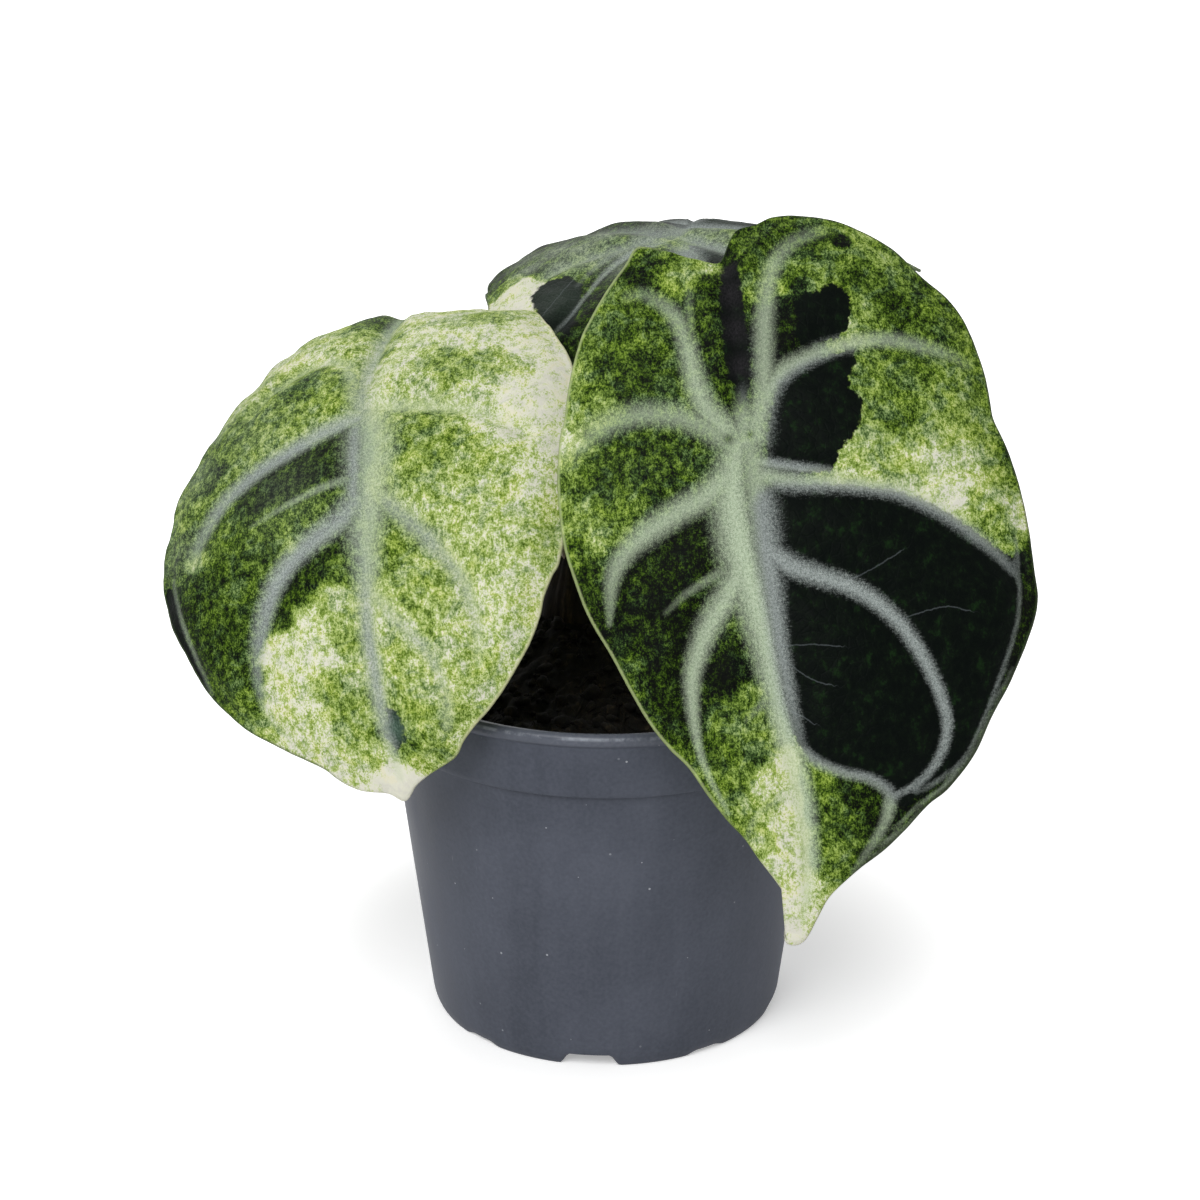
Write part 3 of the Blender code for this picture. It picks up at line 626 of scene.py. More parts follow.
BACK_LEAF = {
    "joint": (8.9, 26.3, 98.6),
    "heading": 162.5,
    "slope": -8,
    "roll": -1.8,
    "bend": (.027, .019, .011, .0205),
    "right": (
        (0, 52.4), (8, 47.5), (14, 45.8), (20, 43.5), (27, 42), (33, 40), (40, 38.5), (47, 37.4),
        (53, 35.6), (60, 34.8), (66, 33.6), (74, 31.2), (82, 29.4), (90, 28.2), (102, 27.4), (115, 27),
        (128, 29.4), (140, 30.5), (150, 31.2), (160, 31), (168, 29.4), (174, 26.6), (180, 24),
    ),
    "left": (
        (8, 47), (14, 45), (20, 43), (27, 41.6), (33, 39.6), (40, 38.2), (47, 37.4), (56, 36), (65, 35.2),
        (74, 32.4), (82, 30.2), (90, 29), (102, 28.6), (115, 29), (128, 29.8), (140, 30.2), (150, 29.8),
        (160, 29), (168, 27.8), (174, 25.8),
    ),
    "veins": (
        ((2.2, .7, .7, 1.2, 1.3, 1, .5), (.7, .2, .35, .7, .75, .7, .5),
         ((0, 0), (.2, 8), (.2, 16), (0, 24), (-.2, 32), (0, 40), (.2, 48))),
        ((1.2, .7, .35, .3, .3), (.7, .7, .55, .35, .15),
         ((1, -1), (4, -5), (6.2, -10), (7.4, -15), (8.8, -20), (11, -24))),
        ((.8, .5, .4, .3), (.6, .45, .3, .1), ((2, .5), (5.4, -3.6), (7.8, -8.4), (9.4, -13.4))),
        ((1.4, 1.1, .8), (.5, .35, .1), ((2, -1), (8, -4.4), (14, -8), (19, -12), (22, -16))),
        ((1.6, 1.2, 1, .8), (.6, .4, .5, .2),
         ((1, 1), (6, 3.4), (12, 6.6), (18, 10.6), (23, 15), (26, 20))),
        ((1.6, 1.2, 1, .7), (.8, .7, .6, .25), ((.6, 9), (5, 12), (11, 15), (17, 20), (21, 26), (22, 31))),
        ((1.5, 1.1, .9, .6), (.75, .7, .6, .25), ((.4, 19), (4, 23), (9, 28), (13, 34), (14, 39))),
        ((1, .8, .5), (.7, .55, .2), ((0, 31), (3, 35), (6, 40), (6, 44))),
        ((1.8, 1.5, 1.2, .9), (.75, .75, .7, .35),
         ((-1, -1), (-3.6, -5), (-5.4, -10), (-6.4, -15), (-8.4, -20), (-11, -24))),
        ((1.6, 1.3, 1, .8), (.75, .7, .6, .25), ((-1.6, 0), (-8, -2.6), (-14, -4), (-20, -4), (-25, -2))),
        ((1.7, 1.3, 1, .7), (.8, .75, .6, .25), ((-.6, 6), (-6, 7.6), (-13, 10), (-19, 14), (-24, 20))),
        ((1.6, 1.2, 1, .7), (.8, .75, .6, .25), ((-.4, 15), (-5, 19), (-10, 23), (-15, 29), (-17, 35))),
        ((1.3, 1, .8, .5), (.7, .65, .5, .2), ((-.2, 25), (-4, 30), (-8, 35), (-10, 40))),
    ),
    "threads": (
        ((8, -6), (10, -11), (11.6, -17), (13, -22)),
        ((5, -12), (8, -17), (9, -22)),
        ((12, 1.6), (15, -3), (19, -6)),
        ((6, 12), (10, 10.6), (15, 11)),
        ((-6, 7.6), (-10, 13), (-14, 17)),
        ((-5, 19), (-9, 17.4), (-14, 18)),
    ),
    # Painted shade: the second field, with the far side's low shades and plums, where the blade falls away.
    "nights": (
        ((7.4, -24), (7.6, -18), (8.8, -13), (11, -11), (13.4, -11), (15.2, -12.4), (15.8, -15), (14, -18),
         (12, -21)),
        ((-10, 7), (-5, 5.6), (0, 5.4), (3, 6), (4.4, 9), (6, 13), (12, 17), (18, 22), (24, 27), (14, 26),
         (4, 22), (-4, 20), (-9, 14)),
        ((-1.4, 17), (-6, 21.4), (-11, 26), (-16, 33), (-15, 38), (-9.6, 43), (-10.4, 39), (-7.4, 33),
         (-3.6, 28), (-1.2, 24)),
        ((-3, -2), (-8, -4.6), (-15, -6), (-22, -5.6), (-24, -12), (-18, -16), (-12, -12), (-7, -8)),
    ),
    # The low shades just beyond the ridge are painted shade where the blade falls away.
    "shades": {
        1.3: ((-.8, -1.2, .56), (17.4, -6, .12)),
        1.5: ((4, -12, .12), (21, -7, .6), (24.5, -6, .2), (-7, -4, .12)),
        1.6: ((23, -8.4, .5), (17, -14.5, 1.15)),
        2: (
            (22, -13, 1.1), (17, 1, .24), (5.4, -22, .12), (3, -16, .16), (21, -4, .3), (25, -2, .14),
            (4, -8, .2), (-4, 36, .62),
        ),
        2.5: (
            (19, -12, 1.15), (14, -6, .36), (9, 3.5, .16), (13, 4, .16), (-6, 7, .12), (12, -7, .46),
            (24, 3, .12), (20, 4, .14), (0, -10, .3), (-6, 4, .45), (-6, 24, .3), (-5, 42, .7), (4, 30, .5),
            (3, 42, .72), (0, 49, .88),
        ),
        3: (
            (18, -3, .3), (6, 8, .1), (10, -2, .4), (5, -20, .12), (10, 5, .2), (-3, -16, .2),
            (-8, -14, .35), (-12, -20, .42), (-18, -12, .3), (-20, 0, .42), (-12, 2, .5), (-24, 6, .35),
            (-16, 8, .55), (-26, 12, .3), (-10, 14, .4), (-16, 20, .3), (-22, 24, .42), (-8, 30, .2),
            (-16, 36, .5), (6, 20, .42), (12, 24, .55), (18, 28, .4), (10, 34, .62), (16, 36, .45),
            (26, 12, .15), (8, 8, .1), (-2, 13, .3), (16, 10, .1),
        ),
    },
    # The plums at (-3, 10) and (4, 13) belong to the painted shade of the far side.
    "plums": ((-6, -4.6, 2.2), (-3, 10, 5), (4, 13, 4), (-2, -20, 3), (11, -16, 5)),
    "creases": (((0, -27), (0, -16), (0, -7)),),
    "lift": (.95, .02),
    "ripple": .45,
    "raise": .25,
    "gaps": ((-.6, -1.2, 1.9),),
    # Painted sheen: a haze of reflected light along the ridge and down the blade's slope.
    "painted_sheens": (
        (-4.5, 3.6, 2.4, .8), (.5, 3.8, 2.2, .8), (-7, 1, 2, .5), (3.8, -.6, 2.2, .75), (5.4, -5, 2.4, .7),
        (9, -6.5, 3, .8), (12, -3, 3.5, .75), (16, -1, 3.5, .65), (21, 0, 3, .4), (4, 4.4, 2, .5),
        (14, -7, 2.6, .75), (19, -5, 2.4, .7), (10, 1, 3, .7), (4, -10, 2.5, .4),
    ),
    "bulges": (
        (24, -9, 2.2, .4), (27, -4, 1.2, -.35), (26, 1, 2.4, .45), (26.5, 6, 1.3, -.4), (21, 8, 2.6, .4),
        (15.5, 9.6, 1.4, -.3), (10, 9.6, 2.6, .2), (4.6, 10, 1.4, -.25), (-1, 10.4, 2.6, .2),
    ),
    "silvers": ((14, (1, 1), ((0, -20), (0, 30))),),
    "rim": ((110, 124, 92), (70, 84, 64)),
    # Here the plum colours are slate green: a painted haze of reflected light over the dark fields.
    "plum": ((22, 32, 24), (48, 58, 50)),
}

LEAVES = {"front": FRONT_LEAF, "left": LEFT_LEAF, "back": BACK_LEAF}


def blade_axes(leaf):
    """Unit vectors along the midrib, to the blade's right and out of its upper face, at the joint."""
    heading, slope, roll = (radians(leaf[key]) for key in ("heading", "slope", "roll"))
    outward = np.array([sin(heading), -cos(heading), 0.0])
    up = np.array([0.0, 0.0, 1.0])
    along = cos(slope) * outward - sin(slope) * up
    normal = sin(slope) * outward + cos(slope) * up
    right = np.cross(normal, along)
    return along, cos(roll) * right + sin(roll) * normal, cos(roll) * normal - sin(roll) * right


def bent(leaf, flat):
    """Points of the flat blade, in mm from the pot's axis once the blade is bent."""
    along, right, normal = blade_axes(leaf)
    to_tip, to_base, to_left, to_right = leaf["bend"]
    across, ahead = flat.T
    bend = np.where(ahead >= 0, to_tip, to_base)
    turn = bend * ahead
    spine = (np.sin(turn) / bend)[:, None] * along - ((1 - np.cos(turn)) / bend)[:, None] * normal
    lifted = np.sin(turn)[:, None] * along + np.cos(turn)[:, None] * normal
    curl = np.where(across >= 0, to_right, to_left)
    angle = curl * across
    side = (np.sin(angle) / curl)[:, None] * right - ((1 - np.cos(angle)) / curl)[:, None] * lifted
    return np.array(leaf["joint"]) + spine + side


def upward(leaf, flat):
    """Unit normals of the bent blade's upper face."""
    step = 0.05
    over = bent(leaf, flat + (step, 0)) - bent(leaf, flat - (step, 0))
    ahead = bent(leaf, flat + (0, step)) - bent(leaf, flat - (0, step))
    return unit(np.cross(ahead, over))


def blade_outline(leaf):
    """The flat blade's margin, evenly spaced, from the tip down its right side and up its left."""
    turns = [*leaf["right"], *((360 - bearing, far) for bearing, far in reversed(leaf["left"]))]
    points = [(far * sin(radians(turn)), far * cos(radians(turn))) for turn, far in turns]
    return through(points, SPOKES, closed=True)


def waves(points, spread, seed):
    """Soft heights of about -1 to 1 at flat points; spread is their size in mm."""
    return np.array([noise.noise((x / spread, y / spread, seed)) for x, y in points]) * 1.6


def soft_spot(flat, across, ahead, spread):
    """1 at the spot, softly less around it: 0.37 at its spread and nearly 0 at twice that."""
    return np.exp(-((flat - (across, ahead)) ** 2).sum(1) / spread ** 2)


def strongest(layers, flat, least=0.0):
    """The highest of some layers at each flat point, and no lower than least."""
    return np.maximum.reduce([np.full(len(flat), least), *layers])


def reading(along, stops):
    """Evenly spaced stops, read at shares of the way along their line."""
    return np.interp(along, np.linspace(0, 1, len(stops)), stops)


def to_curve(flat, points, detail):
    """to_line for the smooth curve through some points, with detail steps for each of them."""
    return to_line(flat, through(points, detail * len(points)))


def vein_values(leaf, flat):
    """Nearness to a band, how strong it is there, its rib's height, and the distance to a main vein."""
    weight, strength, rib = np.zeros((3, len(flat)))
    band = np.full(len(flat), VEIN_FLOOR)
    main = np.full(len(flat), FAR_FROM_VEIN)
    for widths, strengths, points in leaf["veins"]:
        gap, along, _ = to_curve(flat, points, VEIN_DETAIL)
        width, power = reading(along, widths), reading(along, strengths)
        here = 1 - gap / (VEIN_REACH * width)
        share = np.exp(VEIN_PRIORITY * np.clip(here, -2, 1))
        weight += share
        strength += share * power
        band = np.maximum(band, here)
        ridge = np.exp(-(gap / (0.55 * width + 0.25)) ** 2)
        rib = np.maximum(rib, power * np.minimum(width, RIB_WIDTH_LIMIT) * ridge)
        if max(widths) > MAIN_VEIN_WIDTH:
            main = np.minimum(main, gap / np.clip(power * 1.6, 0.35, 1))
    fade = strength / weight
    for spot in leaf["gaps"]:
        fade *= 1 - GAP_FADE * soft_spot(flat, *spot)
    return {"vein": band, "fade": fade, "rib": rib, "main": main}


def shade_values(leaf, flat):
    """The marbling's shade: nearby spots count most."""
    shade = np.zeros(len(flat))
    total = np.full(len(flat), SHADE_LEAST)
    for spread, spots in leaf["shades"].items():
        for across, ahead, level in spots:
            square = ((flat - (across, ahead)) ** 2).sum(1) / (SHADE_REACH * spread) ** 2
            share = (1 + square) ** -4
            shade += share * level
            total += share
    gain, lift = leaf["lift"]
    return shade / total * gain + lift


def thread_values(leaf, flat):
    """The distance to the nearest veinlet, negative on its right."""
    nearest = np.full(len(flat), FAR_FROM_THREAD)
    for points in leaf["threads"]:
        gap, _, side = to_curve(flat, points, FINE_DETAIL)
        nearest = np.where(gap < np.abs(nearest), gap * side, nearest)
    return nearest


def blade_values(leaf, flat, margin):
    """Every number the blade's relief and material need at flat points."""
    values = vein_values(leaf, flat)
    values["shade"] = shade_values(leaf, flat)
    values["thread"] = thread_values(leaf, flat)
    values["near_thread"] = np.exp(-(values["thread"] / THREAD_REACH) ** 2)
    # The painted sheen: grey-green standing in for light reflected off the blade at a grazing angle.
    values["painted_sheen"] = strongest([level * soft_spot(flat, *spot) for *spot, level in leaf["painted_sheens"]], flat)
    values["plum"] = strongest([soft_spot(flat, *spot) for spot in leaf["plums"]], flat)
    values["night"] = strongest([inside_depth(flat, night) for night in leaf["nights"]], flat, FAR_FROM_NIGHT)
    silvers = []
    for width, strengths, points in leaf["silvers"]:
        gap, along, _ = to_curve(flat, points, VEIN_DETAIL)
        silvers.append(reading(along, strengths) * np.exp(-(gap / width) ** 2))
    values["silver"] = strongest(silvers, flat)
    creases = [to_curve(flat, points, FINE_DETAIL)[0] for points in leaf["creases"]]
    values["crease"] = strongest([np.exp(-(gap / CREASE_WIDTH) ** 2) for gap in creases], flat)
    values["edge"], _, _ = to_line(flat, np.concatenate([margin, margin[:1]]))
    return values


def relief(leaf, flat, values, seed):
    """How far the upper face stands over the smooth blade: pads between sunk veins, and a wavy margin."""
    pads = 1 - np.exp(-(np.minimum(values["main"], values["edge"] * 1.2) / PAD_REACH) ** 2)
    swell = PAD_HEIGHT * pads + PAD_WAVES * waves(flat, PAD_WAVE_SPREAD, seed) * pads
    for *spot, height in leaf["bulges"]:
        swell += height * soft_spot(flat, *spot)
    sunk = RIB_DEPTH * values["rib"] + CREASE_DEPTH * values["crease"]
    near = np.exp(-(values["edge"] / RIPPLE_REACH) ** 2)
    ripple = leaf["ripple"] * waves(flat, RIPPLE_SPREAD, seed + 4) * near
    return leaf["raise"] + swell - sunk + ripple + SKIN_WAVES * waves(flat, SKIN_WAVE_SPREAD, seed + 8)


def make_blade(side, leaf, material, seed):
    margin = blade_outline(leaf)
    middle = np.zeros((1, 2))
    top_flat = [middle] + [margin * share for share in np.linspace(0, 1, TOP_RINGS + 1)[1:]]
    under_flat = [margin * share for share in np.linspace(1, 0, UNDER_RINGS + 1)[:-1]] + [middle]
    flat = np.concatenate([*top_flat, margin, *under_flat])
    first_rim = 1 + TOP_RINGS * SPOKES
    rim = slice(first_rim, first_rim + SPOKES)
    under = slice(first_rim + SPOKES, None)
    values = blade_values(leaf, flat, margin)
    height = relief(leaf, flat, values, seed)
    normals = upward(leaf, flat)
    points = bent(leaf, flat) + height[:, None] * normals
    ahead = np.roll(margin, -1, axis=0) - np.roll(margin, 1, axis=0)
    outward = unit(np.stack([-ahead[:, 1], ahead[:, 0]], 1))
    overhang = bent(leaf, margin + MARGIN_OVERHANG * outward) - bent(leaf, margin)
    points[rim] += overhang - 0.5 * MARGIN_THICKNESS * normals[rim]
    inner = 1 - np.exp(-(values["edge"] / MARGIN_REACH) ** 2)
    thick = MARGIN_THICKNESS + (BLADE_THICKNESS - MARGIN_THICKNESS) * inner
    keel = KEEL_HEIGHT * values["rib"] * inner
    points[under] -= (thick + keel)[under, None] * normals[under]
    faces = skin(TOP_RINGS + 1 + UNDER_RINGS, SPOKES)
    blade = new_piece("blade_" + side, place(points), faces, material, "leaf_" + side)
    values["under"] = np.zeros(len(flat))
    values["under"][rim] = 0.5
    values["under"][under] = 1.0
    add_blade_data(blade.data, flat, values)
    return blade


def add_blade_data(mesh, flat, values):
    """What the material reads at each point, and a picture layout: upper face left, underside right."""
    lifted = np.concatenate([flat, UNDER_SHIFT * values["under"][:, None]], 1)
    mesh.attributes.new("flat", "FLOAT_VECTOR", "POINT").data.foreach_set("vector", lifted.ravel())
    for name, numbers in values.items():
        if name not in SHAPE_ONLY:
            mesh.attributes.new(name, "FLOAT", "POINT").data.foreach_set("value", numbers)
    corner = np.zeros(len(mesh.loops), np.int32)
    mesh.loops.foreach_get("vertex_index", corner)
    starts, totals = np.zeros((2, len(mesh.polygons)), np.int32)
    mesh.polygons.foreach_get("loop_start", starts)
    mesh.polygons.foreach_get("loop_total", totals)
    face_under = np.maximum.reduceat(values["under"][corner], starts) > 0.9
    low, high = flat.min(0) - 1.0, flat.max(0) + 1.0
    spots = UV_BORDER + ((flat - low) / (high - low))[corner] * (0.5 - 2 * UV_BORDER, 1 - 2 * UV_BORDER)
    spots[:, 0] += 0.5 * np.repeat(face_under, totals)
    mesh.uv_layers.new(name="OFBake").data.foreach_set("uv", spots.ravel())


# Colours of the marbling, from the darkest shade to cream: the usual ones, then cooler and warmer.
LAMINA = (
    (0.00, (3, 5, 3)), (0.12, (18, 28, 6)), (0.20, (30, 47, 8)), (0.28, (46, 67, 17)), (0.36, (63, 86, 27)),
    (0.44, (84, 109, 38)), (0.56, (115, 141, 58)), (0.69, (149, 171, 88)), (0.80, (174, 190, 116)),
    (0.88, (194, 205, 142)), (0.95, (212, 218, 176)), (1.00, (224, 223, 206)),
)
LAMINA_COOL = (
    (0.00, (3, 6, 4)), (0.20, (28, 43, 22)), (0.36, (56, 80, 42)), (0.50, (92, 118, 74)),
    (0.69, (144, 165, 112)), (0.85, (184, 194, 154)), (1.00, (214, 212, 200)),
)
LAMINA_WARM = (
    (0.00, (5, 8, 3)), (0.20, (36, 56, 8)), (0.36, (70, 97, 20)), (0.50, (108, 138, 36)),
    (0.69, (164, 183, 78)), (0.85, (204, 211, 130)), (1.00, (228, 223, 194)),
)
NIGHT_GREEN = ((0.40, (2, 6, 4)), (0.60, (6, 13, 7)), (0.80, (18, 37, 15)))
UNDERSIDE = ((0.0, (58, 70, 50)), (0.35, (92, 112, 66)), (0.8, (158, 172, 116)))


def blade_material(side, leaf):
    s = Shader("blade_" + side, specular=0.035)
    flat = s.vector("flat")

    # The marbling: speckles, grains and clouds on the leaf's own shades.
    shade, night, vein, fade = (s.number(name) for name in ("shade", "night", "vein", "fade"))
    drawn = s.stretch(flat, (1.2, 0.8, 1.0))
    grain = s.noise(drawn, 3.4, 4.0, 0.75)
    dust = s.noise(flat, 9.0, 1.0)
    patch = s.noise(drawn, 1.1, 3.0, 0.6)
    clump = s.noise(flat, 0.45, 3.0, 0.55)
    tint = s.noise(flat, 0.36, 4.0, 0.6, 0.8)
    cover = s.smooth(s.vary(grain, (patch, 0.55), (dust, 0.3)), 0.37, 0.63)
    tone = s.vary(shade, (cover, 0.28), (grain, 0.45), (dust, 0.25), (patch, 0.5), (clump, 0.7))
    lamina = s.mix(s.smooth(tint, 0.50, 0.62, 0.0, 0.7), s.ramp(tone, LAMINA), s.ramp(tone, LAMINA_COOL))
    lamina = s.mix(s.smooth(tint, 0.48, 0.36, 0.0, 0.6), lamina, s.ramp(tone, LAMINA_WARM))
    # Painted sheen: grey-green mixed over the marbling where light reflects off the blade.
    lamina = s.mix(s.number("painted_sheen"), lamina, s.mix(cover, (92, 106, 90), (164, 174, 152)))

    # The near-black fields, with ragged edges, and plum where they take it on.
    plum = s.number("plum")
    ragged = s.noise(flat, 0.95, 4.0, 0.65)
    depth = s.times(s.vary(night, (ragged, 2.0)), s.sum(1.0, (plum, -0.82)))
    is_night = s.smooth(depth, -0.15, 0.15)
    night_green = s.ramp(s.vary(clump, (patch, 0.8), (grain, 0.5)), NIGHT_GREEN)
    plum_colour = s.mix(s.smooth(grain, 0.3, 0.7), *leaf["plum"])
    body = s.mix(is_night, lamina, s.mix(plum, night_green, plum_colour))

    # The veins' bands: frayed, and silvery over the dark and along the leaf's silvers.
    silver = s.smooth(s.vary(night, (grain, 1.0)), -1.2, 1.0)
    silver = s.math("MAXIMUM", silver, s.number("silver"))
    fleck = s.smooth(s.vary(grain, (dust, 0.7)), 0.15, 0.85)
    green_band = s.mix(fleck, (136, 157, 126), (208, 220, 194))
    pale_band = s.mix(fleck, (172, 188, 142), (216, 222, 194))
    silver_band = s.mix(fleck, (96, 107, 105), (194, 202, 198))
    band_colour = s.mix(s.smooth(shade, 0.35, 0.8), green_band, pale_band)
    band_colour = s.mix(silver, band_colour, silver_band)
    hairs = s.times(s.noise(flat, (1.1, 4.0, 1.0), 3.0, 0.7), silver)
    frayed = s.vary(vein, (dust, 0.8), (grain, 1.1), (patch, 0.7))
    frayed = s.sum(frayed, (hairs, 1.3), (silver, -0.6))
    band = s.times(s.smooth(frayed, -0.7, 1.0), fade)
    body = s.mix(band, body, band_colour)

    # The single veinlets.
    line = s.smooth(s.math("ABSOLUTE", s.vary(s.number("thread"), (patch, 0.4))), 0.12, 0.02)
    line = s.times(line, s.number("near_thread"), 0.15)
    body = s.mix(line, body, s.mix(is_night, (78, 104, 62), (150, 160, 164)))

    # The coloured margin, away from the midrib.
    across = s.axis(flat, 0)
    rim = s.smooth(s.vary(s.number("edge"), (grain, 0.5)), 0.36, 0.08)
    rim = s.times(rim, s.smooth(s.math("ABSOLUTE", across), 5.0, 11.0), 0.7)
    body = s.mix(rim, body, s.mix(s.smooth(across, -6.0, 6.0), *leaf["rim"]))

    # The underside: a softer marbling, and no dark fields.
    pale_under = s.ramp(s.vary(shade, (patch, 0.5), (grain, 0.3)), UNDERSIDE)
    under_band = s.times(s.smooth(vein, -0.1, 0.6), fade)
    underside = s.mix(under_band, pale_under, (150, 164, 112))
    colour = s.mix(s.smooth(s.number("under"), 0.45, 0.6), body, underside)

    # Gloss, and a skin of small cells.
    roughness = s.smooth(s.vary(band, (grain, 0.5)), 0.0, 1.0, 0.46, 0.62)
    cell_values = {"Vector": flat, "Scale": 0.8}
    cells = s.node("ShaderNodeTexVoronoi", cell_values, feature="DISTANCE_TO_EDGE").outputs[0]
    fine = s.vary(s.times(grain, 0.6), (dust, 0.5))
    fine = s.sum(fine, (s.smooth(cells, 0.0, 0.12), 0.5))
    return s.finish(colour, roughness, s.bump(fine, 0.00008, 0.6))


# Pot ---------------------------------------------------------------------------------------------

RIM_RADIUS = 30.0
POT_HEIGHT = 49.2
LIP_WIDTH = 1.6
COLLAR_BOTTOM = 40.8
COLLAR_RADIUS = 29.3
WALL_TOP_RADIUS = 28.65
WALL_BOTTOM_RADIUS = 23.65
WALL = 0.8
FOOT_RADIUS = 23.1
FOOT_WIDTH = 1.5
FOOT_CHAMFER = 1.2
BASE_UNDERSIDE = 2.0
BASE_TOP = 2.8
POT_STEPS = 360
ARC_STEPS = 5
NOTCHES = 9
NOTCH_HEADING = -5.4
# Each notch is (width, height, how far its ends slope).
DEEP_NOTCH = (6.6, 1.5, 0.7)
SLIGHT_NOTCH = (4.6, 0.45, 1.0)
DRAIN_HOLES = 6
DRAIN_RADIUS = 1.8
DRAIN_CIRCLE = 14.0
DRAIN_SIDES = 40
DRAIN_CUT = 3.0
SHARP_ANGLE = 50.0


def wall_radius(height):
    """The outer wall below the collar."""
    rise = (height - FOOT_CHAMFER) / (COLLAR_BOTTOM - FOOT_CHAMFER)
    return WALL_BOTTOM_RADIUS + rise * (WALL_TOP_RADIUS - WALL_BOTTOM_RADIUS)


def inner_radius(height):
    if height <= COLLAR_BOTTOM:
        return wall_radius(height) - WALL
    rise = (height - COLLAR_BOTTOM) / (POT_HEIGHT - COLLAR_BOTTOM)
    foot = wall_radius(COLLAR_BOTTOM) - WALL
    return foot + rise * (RIM_RADIUS - LIP_WIDTH - foot)


def rounded(corners):
    """A profile of (radius, height, rounding) corners with each corner replaced by an arc."""
    line = []
    for index, (x, y, size) in enumerate(corners):
        here = np.array([x, y])
        if size == 0 or index in (0, len(corners) - 1):
            line.append(here)
            continue
        before = np.array(corners[index - 1][:2]) - here
        after = np.array(corners[index + 1][:2]) - here
        a = here + unit(before) * min(size, 0.45 * np.linalg.norm(before))
        b = here + unit(after) * min(size, 0.45 * np.linalg.norm(after))
        arc = [(1 - t) ** 2 * a + 2 * t * (1 - t) * here + t * t * b for t in np.linspace(0, 1, ARC_STEPS)]
        line.extend(arc)
    return np.array(line)


def pot_line():
    """The pot's section, outside first, from the underside's middle round to the floor's middle."""
    corners = [
        (0.0, BASE_UNDERSIDE, 0), (12.0, BASE_UNDERSIDE, 0), (17.0, BASE_UNDERSIDE, 0),
        (FOOT_RADIUS - FOOT_WIDTH, BASE_UNDERSIDE, 0.2), (FOOT_RADIUS - FOOT_WIDTH, 0.0, 0.3),
        (FOOT_RADIUS, 0.0, 0.3), (WALL_BOTTOM_RADIUS, FOOT_CHAMFER, 0.7),
        *((wall_radius(height), height, 0) for height in (3.0, 8.0, 16.0, 24.0, 32.0, 38.0)),
        (wall_radius(40.5), 40.6, 0.1), (COLLAR_RADIUS - 0.12, COLLAR_BOTTOM - 0.16, 0.12),
        (COLLAR_RADIUS + 0.03, COLLAR_BOTTOM + 0.4, 0.25), (COLLAR_RADIUS + 0.25, 44.0, 0),
        (RIM_RADIUS - 0.32, 47.3, 0.15), (RIM_RADIUS - 0.34, 47.5, 0.15), (RIM_RADIUS - 0.02, 47.8, 0.35),
        (RIM_RADIUS, POT_HEIGHT - 0.5, 0.5), (RIM_RADIUS - 0.45, POT_HEIGHT, 0.4),
        (RIM_RADIUS - 1.0, POT_HEIGHT, 0.3), (RIM_RADIUS - LIP_WIDTH, POT_HEIGHT - 0.25, 0.5),
        (RIM_RADIUS - LIP_WIDTH - 0.1, 47.6, 0.4), (inner_radius(44.0), 44.0, 0),
        (inner_radius(COLLAR_BOTTOM), COLLAR_BOTTOM, 0.5), (inner_radius(24.0), 24.0, 0),
        (inner_radius(BASE_TOP), BASE_TOP, 0.6), (0.0, BASE_TOP, 0),
    ]
    return rounded(corners)


def notch_lift(turn):
    """How high a notch lifts the foot at a heading in radians from -Y towards +X; every third is deep."""
    pitch = 2 * pi / NOTCHES
    index = round((turn - radians(NOTCH_HEADING)) / pitch)
    away = abs(turn - radians(NOTCH_HEADING) - index * pitch) * FOOT_RADIUS
    width, height, taper = SLIGHT_NOTCH if index % 3 else DEEP_NOTCH
    share = min(max((width / 2 + taper - away) / (2 * taper), 0.0), 1.0)
    return height * share * share * (3 - 2 * share)


def make_pot(material):
    line = pot_line()
    lifts = [(-turn, notch_lift(-turn)) for turn in circle(POT_STEPS)]
    points = [(0.0, 0.0, line[0][1])]
    for radius, height in line[1:-1]:
        for turn, lift in lifts:
            raised = height
            if height < BASE_UNDERSIDE:
                raised = lift + height * (BASE_UNDERSIDE - lift) / BASE_UNDERSIDE
            points.append((radius * sin(turn), -radius * cos(turn), raised))
    points.append((0.0, 0.0, line[-1][1]))
    faces = skin(len(line) - 2, POT_STEPS)
    pot = new_piece("nursery_pot", place(points), faces, material, "pot")
    cut_drain_holes(pot)
    pot.data.shade_smooth()
    pot.data.set_sharp_from_angle(angle=radians(SHARP_ANGLE))
    return pot


def cut_drain_holes(pot):
    pins = bmesh.new()
    radius = DRAIN_RADIUS * MM
    for spot in ring_points(DRAIN_CIRCLE, BASE_UNDERSIDE, DRAIN_HOLES):
        middle = Matrix.Translation(place(spot))
        bmesh.ops.create_cone(pins, cap_ends=True, segments=DRAIN_SIDES, radius1=radius, radius2=radius,
                              depth=DRAIN_CUT * MM, matrix=middle)
    mesh = bpy.data.meshes.new("drain_holes")
    pins.to_mesh(mesh)
    pins.free()
    cutter = add("drain_holes", mesh)
    cut = pot.modifiers.new("Drain holes", "BOOLEAN")
    cut.operation = "DIFFERENCE"
    cut.object = cutter
    cut.solver = "EXACT"
    drained = bpy.data.meshes.new_from_object(pot.evaluated_get(bpy.context.evaluated_depsgraph_get()))
    pot.modifiers.remove(cut)
    pot.data = drained
    bpy.data.objects.remove(cutter, do_unlink=True)


